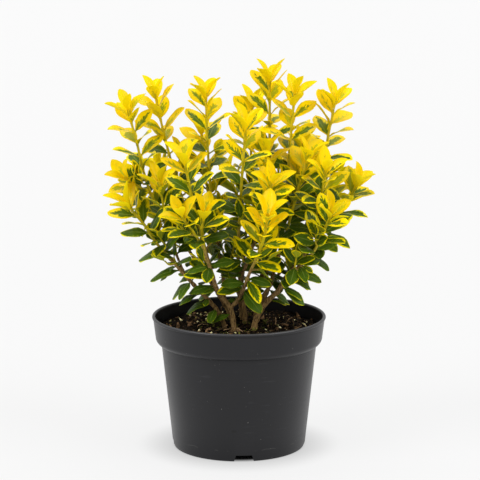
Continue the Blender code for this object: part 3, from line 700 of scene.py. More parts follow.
@dataclass(frozen=True)
class Trait:
    """A measure that changes from pair to pair, with a random part."""

    start: float
    change: float
    low: float
    high: float

    def at(self, place: float, draw: Random) -> float:
        """The measure at a rank or an age."""
        return self.start + self.change * place + draw.uniform(self.low, self.high)


@dataclass(frozen=True)
class CrownRule:
    """The rosette: pairs at right angles, the upper ones smaller and more upright."""

    whorls: tuple[Whorl, ...] = (Whorl(0.86, 27, 24, 11.5, 10), Whorl(0.36, 42, 28, 13.8, 14))
    pair_turn: float = 8
    leaf_turn: float = 6
    lean: float = 4
    sizes: Pair = (0.94, 1.06)
    curls: Pair = (-6, 10)

    def plans(self, stem: Stem, size: float, draw: Random) -> Iterator[Plan]:
        """The leaves of a rosette of this size, from its upper pair down."""
        for rank, whorl in enumerate(self.whorls):
            heading = stem.branch.turn + 90 * rank + swing(draw, self.pair_turn)
            for side in (0, 180):
                yield Plan(share=whorl.share, heading=heading + side + swing(draw, self.leaf_turn),
                           spread=whorl.spread + swing(draw, self.lean),
                           length=whorl.length * MM * size * draw.uniform(*self.sizes),
                           width=whorl.width * MM * size * draw.uniform(*self.sizes),
                           curl=whorl.curl + draw.uniform(*self.curls), rank=rank, stage=Stage.CROWN)


@dataclass(frozen=True)
class BudRule:
    """The youngest leaves, upright round the bud."""

    whorls: tuple[Whorl, ...] = (Whorl(1.0, 15, 26, 10.8, 8), Whorl(1.0, 9, 20.5, 7.8, 4))
    pair_turn: float = 10
    leans: Pair = (-3, 4)
    sizes: Pair = (0.93, 1.07)
    curls: Pair = (-6, 8)

    def plans(self, stem: Stem, size: float, draw: Random) -> Iterator[Plan]:
        """The leaves of a bud of this size. Their ranks are under 0."""
        for rank, whorl in enumerate(self.whorls):
            heading = stem.branch.turn + 90 * (1 + rank) + swing(draw, self.pair_turn)
            for side in (0, 180):
                yield Plan(share=whorl.share, heading=heading + side,
                           spread=whorl.spread + draw.uniform(*self.leans),
                           length=whorl.length * MM * size * draw.uniform(*self.sizes),
                           width=whorl.width * MM * size, curl=whorl.curl + draw.uniform(*self.curls),
                           rank=-1 - rank, stage=Stage.BUD)


@dataclass(frozen=True)
class TwigRule:
    """Pairs down a green twig from its tip, each at right angles to the next."""

    first: float = 4.5 * MM  # from the tip to the highest pair
    last: float = 6 * MM  # kept free at the twig's foot
    grown: int = 6  # the pair from which leaves have their full spread
    full_pairs: int = 3  # the solids have all of these
    deep_pairs: int = 4  # and below them one pair in this many
    pair_turn: float = 10
    leaf_turn: float = 8
    spread: Trait = Trait(44, 24, -6, 6)
    length: Trait = Trait(28.5, 3, -2, 2)
    width: Trait = Trait(15, 0, -1, 1)
    curl: Trait = Trait(8, 30, -8, 10)
    step: Trait = Trait(10.5, 0.7, -1, 1)

    def plans(self, stem: Stem, above: int, draw: Random) -> Iterator[Plan]:
        """The leaves of a twig whose rosette has this many pairs above them."""
        below, rank = self.first, 0
        while stem.path.length - below > self.last:
            age = min(rank / self.grown, 1.0)
            heading = stem.branch.turn + 90 * rank + swing(draw, self.pair_turn)
            for side in (0, 180):
                yield Plan(share=1 - below / stem.path.length,
                           heading=heading + side + swing(draw, self.leaf_turn),
                           spread=self.spread.at(age, draw),
                           length=self.length.at(sin(pi * age), draw) * MM,
                           width=self.width.at(age, draw) * MM, curl=self.curl.at(age, draw),
                           rank=above + rank, stage=Stage.TWIG)
            below += self.step.at(rank, draw) * MM
            rank += 1

    def in_solids(self, rank: int) -> bool:
        """Whether the solids have the pair of this rank on the twig."""
        return rank < self.full_pairs or rank % self.deep_pairs == 0


@dataclass(frozen=True)
class OldRule:
    """Old leaves on a woody stem's upper part, in pairs with some missing."""

    start: float = 0.34  # share of the stem under which there are none
    last: float = 6 * MM  # kept free at the stem's end
    kept: float = 0.68  # share of them that hasn't fallen
    front_level: float = 160 * MM  # over which they stand
    back_level: float = 140 * MM
    pair_turn: float = 20
    spreads: Pair = (58, 82)
    lengths: Pair = (21, 28)
    widths: Pair = (11, 14)
    curls: Pair = (22, 55)
    steps: Pair = (8, 13)

    def plans(self, stem: Stem, draw: Random) -> Iterator[Plan]:
        """The leaves of a woody stem from its foot up."""
        along, rank = self.start * stem.path.length, 0
        while along < stem.path.length - self.last:
            share = along / stem.path.length
            heading = 90 * rank + swing(draw, self.pair_turn)
            for side in (0, 180):
                plan = Plan(share=share, heading=heading + side, spread=draw.uniform(*self.spreads),
                            length=draw.uniform(*self.lengths) * MM,
                            width=draw.uniform(*self.widths) * MM, curl=draw.uniform(*self.curls),
                            rank=OLD_RANK, stage=Stage.OLD)
                place = stem.path.at(share)
                level = self.back_level if place.y > 0 else self.front_level
                if draw.random() < self.kept and place.z > level:
                    yield plan
            along += draw.uniform(*self.steps) * MM
            rank += 1


@dataclass(frozen=True)
class ShootRule:
    """Short side shoots on a stem's inner part, with small leaves."""

    step: float = 15 * MM  # between the places where one may stand
    chance: float = 0.55  # that one stands there
    levels: Pair = (168 * MM, 285 * MM)  # between which they stand
    woody_part: float = 0.95  # of a woody stem's length that may have them
    green_part: float = 0.6
    reaches: Pair = (11, 24)
    tries: int = 10
    thick: float = 2.0
    thin: float = 1.5
    leaf_step: float = 6.5 * MM
    pair_turn: float = 12
    spread: float = 22
    more_spread: float = 18  # for each pair
    most_spread: float = 62
    lean: float = 6
    lengths: Pair = (16, 21)
    widths: Pair = (8.5, 10.5)
    more_length: float = 0.12  # as a share, for each of the first two pairs
    more_width: float = 0.14
    curl: Trait = Trait(6, 12, -6, 12)

    def places(self, stem: Stem, draw: Random) -> Iterator[Pair]:
        """Where shoots may stand, as shares of the stem's length, and their reach."""
        low, high = self.levels
        part = self.woody_part if stem.woody else self.green_part
        along = draw.uniform(0.3, 1.0) * self.step
        while along < stem.path.length * part:
            share = along / stem.path.length
            along += self.step * draw.uniform(0.85, 1.15)
            reach = draw.uniform(*self.reaches) * MM
            if low < stem.path.at(share).z < high and draw.random() <= self.chance:
                yield share, reach

    def branch(self, stem: Stem, share: float, reach: float, name: str, draw: Random) -> Branch:
        """A shoot that leaves its stem at a random heading and then bends upwards.

        Args:
            stem: The stem it stands on.
            share: Where on that stem.
            reach: About how far it reaches.
            name: Its name.
            draw: The random numbers.

        Returns:
            The shoot.
        """
        start, way = stem.path.at(share), stem.path.direction(share)
        out = outward(way, draw.uniform(0, 2 * pi))
        elbow = start + (way * 0.55 + out * 0.85) * (reach * 0.5)
        end = elbow + (way * 0.6 + out * 0.45 + Vector((0, 0, 0.5))) * (reach * 0.5)
        points = tuple(tuple(point / MM) for point in (start, elbow, end))
        return Branch(name, stem.branch.node, stem.branch.name, points, self.thick, self.thin,
                      draw.uniform(0, 180), older=draw.uniform(-0.2, 0.1))

    def plans(self, stem: Stem, draw: Random) -> Iterator[Plan]:
        """The leaves of a shoot from its tip down."""
        below, rank = 0.0, 0
        while stem.path.length - below > self.leaf_step:
            heading = stem.branch.turn + 90 * rank + swing(draw, self.pair_turn)
            spread = min(self.spread + self.more_spread * rank, self.most_spread)
            for side in (0, 180):
                yield Plan(share=1 - below / stem.path.length, heading=heading + side,
                           spread=spread + swing(draw, self.lean),
                           length=draw.uniform(*self.lengths) * MM * (1 + self.more_length * min(rank, 2)),
                           width=draw.uniform(*self.widths) * MM * (1 + self.more_width * min(rank, 2)),
                           curl=self.curl.at(rank, draw), rank=rank, stage=Stage.SHOOT)
            below += self.leaf_step * draw.uniform(0.9, 1.15)
            rank += 1


@dataclass(frozen=True)
class Leaf:
    """A leaf in its place, with the names of its node and its stem."""

    node: str
    stem: str
    plan: Plan
    root: Vector
    way: Vector
    face: Vector  # its upper side's normal at the root

    STEPS = 12
    HEED = 0.7  # how much of the way to the light a leaf turns

    def frame(self, share: float) -> tuple[Vector, Vector, Vector]:
        """Midrib point, the way it runs, and the upper side's normal at a share of the length."""
        place = self.root.copy()
        for i in range(self.STEPS):
            angle = radians(self.plan.curl) * share * (i + 0.5) / self.STEPS
            onward = self.way * cos(angle) - self.face * sin(angle)
            place += onward * (self.plan.length * share / self.STEPS)
        angle = radians(self.plan.curl) * share
        way = self.way * cos(angle) - self.face * sin(angle)
        return place, way, self.face * cos(angle) + self.way * sin(angle)

    def lit_roll(self, light: Vector, most: float) -> float:
        """How far the leaf turns about its midrib to face the light, in radians."""
        wanted = atan2(light.dot(self.way.cross(self.face)), light.dot(self.face))
        return max(-most, min(most, self.HEED * wanted))

    def turn(self, roll: float) -> Vector:
        """The Euler angles that lay a blade along +Y onto this leaf, with some roll."""
        way, face = self.way, self.face
        turned = Matrix((way.cross(face), way, face)).transposed() @ Matrix.Rotation(roll, 3, "Y")
        return Vector(turned.to_euler())


class Space:
    """What is already placed, which each new leaf has to miss."""

    def __init__(self) -> None:
        """Starts empty."""
        self.items: list[tuple[BVHTree, str]] = []
        self.centres = np.zeros((0, 3))
        self.reaches = np.zeros(0)

    @staticmethod
    def ball(points: Sequence[Vector]) -> tuple[np.ndarray, float]:
        """The centre of points, and how far they reach from it."""
        cloud = np.array([tuple(point) for point in points])
        centre = cloud.mean(axis=0)
        return centre, np.linalg.norm(cloud - centre, axis=1).max()

    def add(self, points: Sequence[Vector], faces: Sequence, tag: str) -> None:
        """Keeps a solid that later leaves have to miss."""
        centre, reach = self.ball(points)
        self.items.append((BVHTree.FromPolygons(points, faces), tag))
        self.centres = np.vstack([self.centres, centre])
        self.reaches = np.append(self.reaches, reach)

    def crossed(self, points: Sequence[Vector], faces: Sequence, passed: tuple[str, ...]) -> bool:
        """Whether a solid crosses one already kept, whose tag isn't among those passed over."""
        centre, reach = self.ball(points)
        near = np.linalg.norm(self.centres - centre, axis=1) < self.reaches + reach
        tree = BVHTree.FromPolygons(points, faces)
        for index in np.flatnonzero(near):
            other, tag = self.items[index]
            if tag not in passed and other.overlap(tree):
                return True
        return False


@dataclass(frozen=True)
class Solids:
    """Plain solids of stems and leaves, by which crossings are found."""

    clearance: float = 0.45 * MM
    keel: float = 1.2 * MM  # a blade's thickness at its midrib
    root_keel: float = 1.0 * MM
    root_half_width: float = 0.6 * MM
    petiole: float = 0.12  # share of the length
    belly: float = 0.86  # under 1, the blade is widest nearer its root
    point: float = 0.8  # under 1, its ends are round
    stations: tuple[float, ...] = (0.0, 0.42, 0.78)  # the tip follows as a point
    tube_step: float = 17 * MM
    sides: int = 6

    def half_width(self, width: float, share: float) -> float:
        """Half the width of a leaf at a share of its length."""
        if share <= self.petiole:
            return self.root_half_width
        blade = (share - self.petiole) / (1 - self.petiole)
        return max(0.5 * width * sin(pi * blade ** self.belly) ** self.point, 0.0)

    def blade(self, leaf: Leaf, extra: float) -> Solid:
        """A keeled solid for a leaf.

        Args:
            leaf: The leaf.
            extra: What is added all round it.

        Returns:
            The solid.
        """
        points = []
        for share in self.stations:
            place, way, face = leaf.frame(share)
            side = face.cross(way) * (self.half_width(leaf.plan.width, share) + extra)
            keel = face * ((self.keel if share else self.root_keel) + extra)
            points += [place - side + face * extra, place + side + face * extra, place - keel]
        tip, way, _ = leaf.frame(1.0)
        points.append(tip + way * extra)
        last = len(points) - 1
        faces = [(0, 1, 2)]
        for low in range(0, last - 3, 3):
            left, right, keel, far_left, far_right, far_keel = range(low, low + 6)
            faces += [(left, far_left, far_right, right), (left, keel, far_keel),
                      (left, far_keel, far_left), (right, far_keel, keel), (right, far_right, far_keel)]
        faces += [(last - 3, last, last - 2), (last - 3, last - 1, last), (last - 2, last, last - 1)]
        return points, faces

    def tube(self, stem: Stem) -> Solid:
        """A prism round a stem."""
        count = max(2, round(stem.path.length / self.tube_step) + 1)
        points, faces = [], []
        for i in range(count):
            share = i / (count - 1)
            way = stem.path.direction(share)
            aside = way.orthogonal().normalized()
            ahead = way.cross(aside)
            for k in range(self.sides):
                angle = 2 * pi * k / self.sides
                out = aside * cos(angle) + ahead * sin(angle)
                points.append(stem.path.at(share) + out * (stem.radius(share) + self.clearance))
        for i in range(count - 1):
            for k in range(self.sides):
                a, b = i * self.sides + k, i * self.sides + (k + 1) % self.sides
                faces.append((a, b, b + self.sides, a + self.sides))
        return points, faces


@dataclass
class Growth:
    """Where every stem and leaf of the plant grows, by the same rules as in the solids."""

    seed: int = 11
    gap: float = 0.3 * MM
    close: float = 0.1 * MM  # kept round a leaf that only the looks have
    sink: float = 1.3 * MM  # how far a leaf's root lies under its stem's surface
    crown_stem: float = 8.5 * MM
    crown_lift: float = 0.25  # how much a rosette's stem turns up
    crown_stem_widths: Pair = (2.4, 2.8)
    rim_level: float = 135 * MM  # under which leaves stay within the rim
    rim_reach: float = 72.7 * MM
    soil_top: float = 122.2 * MM
    turns: Sequence[int] = range(-40, 41, 10)  # tried with the leans and scales until a leaf is clear
    leans: Sequence[int] = range(-24, 25, 8)
    lean_cost: float = 1.3  # a lean counts for this much more than a turn
    scales: tuple[float, ...] = (1.0, 0.9, 0.8, 0.7, 0.6)
    crown: CrownRule = CrownRule()
    bud: BudRule = BudRule()
    twig: TwigRule = TwigRule()
    old: OldRule = OldRule()
    shoot: ShootRule = ShootRule()
    solids: Solids = Solids()
    stems: dict[str, Stem] = field(default_factory=dict)
    leaves: list[Leaf] = field(default_factory=list)

    def grow(self) -> None:
        """Grows all stems, then the leaves of the solids in their order, then the others."""
        for branch in WOODY + GREENS:
            self.stems[branch.name] = self.grow_stem(branch)
        for branch in [self.crown_branch(self.stems[branch.name]) for branch in GREENS]:
            self.stems[branch.name] = self.grow_stem(branch)
        space = Space()
        for stem in self.stems.values():
            space.add(*self.solids.tube(stem), stem.branch.name)
        first, others = [], []
        above = len(self.crown.whorls)
        for branch in GREENS:
            draw = Random(f"{self.seed} {branch.name}")
            crown, twig = self.stems["crown_" + branch.name], self.stems[branch.name]
            first += [(crown, plan) for plan in self.crown.plans(crown, branch.crown, draw)]
            for plan in self.twig.plans(twig, above, draw):
                (first if self.twig.in_solids(plan.rank - above) else others).append((twig, plan))
            others += [(crown, plan) for plan in self.bud.plans(crown, branch.crown, draw)]
        first.sort(key=lambda pair: pair[1].rank)
        first += [(self.stems[low.branch], self.low_plan(low)) for low in LOW_LEAVES]
        others += [(self.stems[low.branch], self.low_plan(low)) for low in MORE_LOW_LEAVES]
        for branch in WOODY:
            draw = Random(f"old {self.seed} {branch.name}")
            stem = self.stems[branch.name]
            others += [(stem, plan) for plan in self.old.plans(stem, draw)]
        for stem, plan in first:
            self.place(stem, plan, self.solids.clearance, space)
        for branch in WOODY + GREENS:
            draw = Random(f"shoots {self.seed} {branch.name}")
            for shoot in self.shoots(self.stems[branch.name], draw, space):
                others += [(shoot, plan) for plan in self.shoot.plans(shoot, draw)]
        others.sort(key=lambda pair: pair[1].stage is Stage.SHOOT)
        for stem, plan in others:
            self.place(stem, plan, self.close, space)

    def grow_stem(self, branch: Branch) -> Stem:
        """The branch's path. It starts at its parent's end, a little clear, or inside its side."""
        points = [tuple(value * MM for value in point) for point in branch.points]
        if not branch.parent:
            return Stem(branch, Path(points))
        parent = self.stems[branch.parent]
        if branch.node != parent.branch.node:
            way = parent.path.direction(1.0)
            start = parent.path.at(1.0) + way * self.gap
        else:
            share = parent.path.nearest(points.pop(0))
            start = parent.path.at(share)
            onward = (Vector(points[0]) - start).normalized()
            way = (parent.path.direction(share) + onward).normalized()
        return Stem(branch, Path([tuple(start)] + points, way))

    def crown_branch(self, stem: Stem) -> Branch:
        """The short stem of the rosette that stands on a twig's end."""
        way = stem.path.direction(1.0) + Vector((0, 0, self.crown_lift))
        top = stem.path.at(1.0) + way.normalized() * self.crown_stem
        name = "crown_" + stem.branch.name
        return Branch(name, name, stem.branch.name, (tuple(top / MM),), *self.crown_stem_widths,
                      stem.branch.turn)

    def low_plan(self, low: LowLeaf) -> Plan:
        """A low leaf's heading in the world turned into a plan on its stem."""
        heading, rise = radians(low.heading), radians(low.rise)
        way = Vector((cos(heading) * cos(rise), sin(heading) * cos(rise), sin(rise)))
        along = self.stems[low.branch].path.direction(low.share)
        aside, ahead = around(along)
        turn = degrees(atan2(way.dot(ahead), way.dot(aside)))
        return Plan(share=low.share, heading=turn, spread=degrees(along.angle(way)),
                    length=low.length * MM, width=low.width * MM, curl=low.curl, rank=OLD_RANK,
                    stage=Stage.OLD, younger=low.younger)

    def shoots(self, stem: Stem, draw: Random, space: Space) -> Iterator[Stem]:
        """The side shoots of a stem, each clear of everything placed so far."""
        count = 0
        for share, reach in self.shoot.places(stem, draw):
            name = f"{stem.branch.name} shoot {count}"
            for _ in range(self.shoot.tries):
                shoot = self.grow_stem(self.shoot.branch(stem, share, reach, name, draw))
                points, faces = self.solids.tube(shoot)
                if not space.crossed(points, faces, (stem.branch.name,)):
                    space.add(points, faces, name)
                    self.stems[name] = shoot
                    count += 1
                    yield shoot
                    break

    def leaf_on(self, stem: Stem, plan: Plan) -> Leaf:
        """The leaf of a plan, with its root in its stem."""
        way, lean = stem.path.direction(plan.share), radians(plan.spread)
        out = outward(way, radians(plan.heading))
        radius = stem.radius(plan.share)
        root = stem.path.at(plan.share) + out * max(radius - self.sink, 0.2 * radius)
        return Leaf(node=stem.branch.node, stem=stem.branch.name, plan=plan, root=root,
                    way=way * cos(lean) + out * sin(lean),
                    face=way * sin(lean) - out * cos(lean))

    def clear_of_pot(self, points: Sequence[Vector]) -> bool:
        """Whether points keep off the pot's rim and the soil."""
        for point in points:
            if point.z < self.soil_top:
                return False
            if point.z < self.rim_level and hypot(point.x, point.y) > self.rim_reach:
                return False
        return True

    def turned_ways(self) -> Iterator[tuple[float, int, int]]:
        """Scales, turns and leans in the order of trying, small changes first."""
        ways = sorted(((turn, lean) for turn in self.turns for lean in self.leans),
                      key=lambda way: (abs(way[0]) + self.lean_cost * abs(way[1]), way))
        for scale in self.scales:
            for turn, lean in ways:
                yield scale, turn, lean

    def place(self, stem: Stem, plan: Plan, clearance: float, space: Space) -> None:
        """Adds the leaf as planned, or changed until it is clear, or not at all."""
        pair = f"{stem.branch.name} {plan.rank}"
        for scale, turn, lean in self.turned_ways():
            shape = replace(plan, heading=plan.heading + turn, spread=plan.spread + lean,
                            length=plan.length * scale, width=plan.width * (0.5 + 0.5 * scale))
            leaf = self.leaf_on(stem, shape)
            points, faces = self.solids.blade(leaf, clearance)
            if self.clear_of_pot(points) and not space.crossed(points, faces, (pair, stem.branch.name)):
                space.add(points, faces, pair)
                self.leaves.append(leaf)
                return


# Finishes


@dataclass(frozen=True)
class LeafFinish:
    """A variegated leaf: a green heart with a jagged edge, lime round it, and a yellow margin."""

    name: str
    shine: float = 0.075
    glow: float = 0.25
    margin: Colour = (0.88, 0.598, 0.002)
    mid_margin: Colour = (0.89, 0.725, 0.002)
    old_margin: Colour = (0.47, 0.52, 0.010)
    lime: Colour = (0.28, 0.34, 0.006)
    faint: Colour = (0.57, 0.52, 0.005)
    heart: Colour = (0.088, 0.150, 0.004)
    old_heart: Colour = (0.053, 0.106, 0.006)
    back: Colour = (0.33, 0.36, 0.015)
    old_back: Colour = (0.10, 0.16, 0.008)
    back_margin: Colour = (0.87, 0.66, 0.003)
    midrib: Colour = (0.26, 0.34, 0.06)
    young_midrib: Colour = (0.80, 0.68, 0.02)
    gloss: float = 0.28
    back_gloss: float = 0.6
    relief: float = 0.12 * MM
    veins: float = 7.5  # pairs of side veins
    vein_lean: float = 0.36  # how far they run on towards the tip
    lopsided: float = 0.34  # how far a young leaf's green heart may move to one side

    def make(self) -> Material:
        """Builds the material. It reads the leaf's UV map and its age, tone, skew and underside."""
        g = Graph(self.name, {"Specular IOR Level": self.shine, "Subsurface Weight": self.glow,
                              "Subsurface Radius": (0.9, 0.9, 0.12), "Subsurface Scale": 0.0016})
        age, tone, skew, under = (g.attribute(name) for name in ("age", "tone", "skew", "under"))
        across, along, _ = g.axes(g.term("ShaderNodeUVMap", {"uv_map": "UVMap"}))
        side = across * 2.0 - 1.0
        out = abs(side)
        youth = 1.0 - age
        seed = tone * 61.0
        vein = along - out * self.vein_lean
        flames = g.noise(g.vector(vein * 8.5, side * 1.5 + seed, seed), 1.0, 2.0, 0.6)
        patches = g.noise(g.vector(along * 2.4 + seed, side * 1.3, seed * 0.7), 1.0, 1.5)
        # How far out from the midrib the heart reaches: less on a young leaf and near the tip
        lean = skew * side * youth * self.lopsided
        reach = 0.99 - youth ** 1.6 * 1.13 - along ** 4.0 * (1.05 - 0.88 * age * age) + lean
        jag = (flames.rises(0.3, 0.7) - 0.5) * (youth * 0.8 + 0.06)
        blur = 0.02 + 0.3 * youth.rises(0.72, 0.95)
        green = ((reach + jag - out) / blur).rises(-1.0, 1.0)
        wider = reach + jag * 0.8 + 0.11 + (patches - 0.5) * (youth * 1.4) - out
        limed = (wider / blur).rises(-1.0, 1.0)
        # The colours of the margin and the heart go by age, and then lie over one another
        margin = g.mix(age.rises(0.2, 0.7), self.margin, self.mid_margin)
        margin = g.mix(age.rises(0.72, 0.96), margin, self.old_margin)
        depth = age + (tone - 0.5) * 0.3
        heart = g.mix(depth.rises(0.08, 0.40), self.faint, self.heart)
        heart = g.mix(depth.rises(0.32, 0.74), heart, self.old_heart)
        top = g.mix(limed * age.rises(0.05, 0.3) * 0.9, margin, self.lime)
        top = g.mix(green, top, heart)
        rib = out.rises(0.11, 0.03) * (1.15 - along)
        veins = g.math("SINE", vein * (2 * pi * self.veins)).rises(0.86, 1.0)
        top = g.mix(rib * 0.55, top, g.mix(green, self.young_midrib, self.midrib))
        top = g.mix(veins * green * 0.10, top, self.midrib)
        back = g.mix(limed * age.rises(0.1, 0.3), self.back_margin,
                     g.mix(age.rises(0.55, 1.0), self.back, self.old_back))
        back = g.mix(rib * 0.4, back, self.young_midrib)
        shade = 0.16 * g.noise(g.vector(along * 3.0, side, seed), 1.0, 1.0)
        shade = shade + 0.82 - age * 0.1 + tone * (0.2 + age * 0.2)
        colour = g.shaded(g.mix(under, top, back), shade)
        rough = self.gloss + under * (self.back_gloss - self.gloss) + (flames - 0.5) * 0.1
        height = 0.6 - rib * 0.6 + veins * 0.25
        return g.finish(colour, rough, height, self.relief)


@dataclass(frozen=True)
class StemFinish:
    """Grey-brown bark that turns into the yellow-green skin of young shoots."""

    name: str = "bark and young skin"
    bark: Colour = (0.33, 0.205, 0.074)
    cracks: Colour = (0.085, 0.047, 0.018)
    pores: Colour = (0.46, 0.34, 0.16)
    skin: Colour = (0.66, 0.52, 0.012)
    shaded_skin: Colour = (0.40, 0.355, 0.008)

    def make(self) -> Material:
        """Builds the material. It reads how fresh the stem is."""
        g = Graph(self.name, {"Specular IOR Level": 0.14})
        fresh = g.attribute("fresh")
        long = g.noise(g.place((1, 1, 0.22)), 900.0, 3.0, 0.6)
        fine = g.noise(g.place(), 1500.0, 2.0)
        broad = g.noise(g.place(), 120.0, 2.0)
        bark = g.mix(long.rises(0.56, 0.36), self.bark, self.cracks)
        bark = g.mix(fine.rises(0.66, 0.74) * 0.7, bark, self.pores)
        skin = g.mix((broad * 0.6 + long * 0.4).rises(0.58, 0.38), self.skin, self.shaded_skin)
        colour = g.mix(fresh.rises(0.2, 0.6), bark, skin)
        rough = 0.82 - fresh * 0.35
        return g.finish(colour, rough, long * 0.7 + fine * 0.3, 0.16 * MM)


@dataclass(frozen=True)
class PotFinish:
    """Charcoal moulded plastic: a fine grain, dust, scuffs, two scratches, one dull smudge, a painted
    highlight along the lip and a painted shadow under it.
    """

    name: str = "black moulded plastic"
    base: Colour = (0.0050, 0.0050, 0.0064)
    worn: Colour = (0.030, 0.030, 0.034)
    # A painted highlight along the lip's bead
    edge: Colour = (0.085, 0.085, 0.090)
    dust: Colour = (0.42, 0.41, 0.38)
    smudge: Colour = (0.003, 0.003, 0.003)
    # A painted shadow in the crease under the lip
    lip_shadow: Colour = (0.002, 0.002, 0.002)
    scratch_height: float = 7.5 * MM
    scratch_widths: Pair = (0.35 * MM, 0.1 * MM)  # of its soft and its bright part
    smudge_left: float = 4.7 * MM  # of the pot's middle
    smudge_height: float = 31 * MM
    smudge_stretch: float = 2.2
    # Heights of the lip's painted highlight, and of the painted shadow under the lip
    lip_highlight_heights: Pair = (128.0 * MM, 129.8 * MM)
    lip_shadow_heights: tuple[float, ...] = (125.2 * MM, 126.4 * MM, 127.6 * MM, 126.8 * MM)

    def make(self) -> Material:
        """Builds the material."""
        g = Graph(self.name, {"Specular IOR Level": 0.34})
        place = g.place()
        x, y, z = g.axes(place)
        front = (0.0 - y).rises(0.0, 0.02)
        broad = g.noise(g.place((1, 1, 0.5)), 22.0, 3.0)
        grain = g.noise(place, 1400.0, 2.0)
        specks = g.noise(place, 520.0, 1.0).rises(0.785, 0.81)
        scuffs = g.noise(g.place((0.10, 0.10, 1)), 480.0, 2.0).rises(0.62, 0.76) * broad.rises(0.48, 0.62)
        wander = g.noise(g.vector(x, 0.0, 0.0), 55.0, 2.0)
        height = abs(z - wander * (6 * MM) - self.scratch_height)
        scratch = height.rises(*self.scratch_widths) * wander.rises(0.50, 0.56) * front
        aside = (x + self.smudge_left) / self.smudge_stretch
        spot = aside ** 2.0 + (z - self.smudge_height - (wander - 0.5) * (4 * MM)) ** 2.0
        smudge = spot.rises(2.2 * MM * MM, 0.6 * MM * MM) * front
        # Bands of the lip's painted highlight and of the painted shadow under it
        lip = z.rises(*self.lip_highlight_heights)
        lip_shadow_band = z.rises(*self.lip_shadow_heights[:2]) * z.rises(*self.lip_shadow_heights[2:])
        colour = g.mix(broad * 0.2 + scuffs * 0.45, self.base, self.worn)
        # The lip's painted highlight, then the painted shadow under the lip
        colour = g.mix(lip * 0.5, colour, self.edge)
        colour = g.mix(lip_shadow_band * 0.7, colour, self.lip_shadow)
        colour = g.mix(g.math("MAXIMUM", specks * 0.35, scratch * 0.09), colour, self.dust)
        colour = g.mix(smudge * 0.8, colour, self.smudge)
        rough = 0.37 + (broad - 0.5) * 0.18 + scuffs * 0.12
        return g.finish(colour, rough, grain * 0.8 + broad * 0.2, 0.05 * MM)


@dataclass(frozen=True)
class SoilFinish:
    """Loose litter: each bit has its own shade between a dark and a light colour."""

    name: str
    dark: Colour
    light: Colour
    lift: float = 0.1  # the higher, the more of it is light
    power: float = 1.0  # the higher, the fewer bits are light
    grain: float = 900.0
    relief: float = 0.35 * MM

    def make(self) -> Material:
        """Builds the material. It reads each bit's tone, which is 0 on the soil's own surface."""
        g = Graph(self.name, {"Specular IOR Level": 0.06})
        tone = g.attribute("tone") ** self.power
        fine = g.noise(g.place(), self.grain, 3.0, 0.65)
        broad = g.noise(g.place(), self.grain * 0.14, 2.0)
        factor = tone * 0.75 + (fine - 0.5) * 1.3 + (broad - 0.5) * 0.7 + self.lift
        return g.finish(g.mix(factor.rises(0.0, 1.0), self.dark, self.light), 0.9, fine, self.relief)


WET: Colour = (0.003, 0.0018, 0.0009)  # the darkest soil


# Sub-assemblies


@dataclass(frozen=True)
class Form:
    """The shape of a blade."""

    fold: float  # of its halves along the midrib, in degrees
    roll: float  # of its edges, against half its width
    ripple: float  # of its edges, in mm
    belly: float  # the higher, the further out it is widest
    point: float  # the lower, the rounder its ends


class Blade(Enum):
    """The forms of blade, by the leaf's age."""

    YOUNG = Form(fold=27, roll=0.0, ripple=0.30, belly=1.04, point=0.68)
    GROWN = Form(fold=13, roll=0.08, ripple=0.55, belly=1.08, point=0.62)
    OLD = Form(fold=6, roll=0.20, ripple=0.70, belly=1.04, point=0.62)


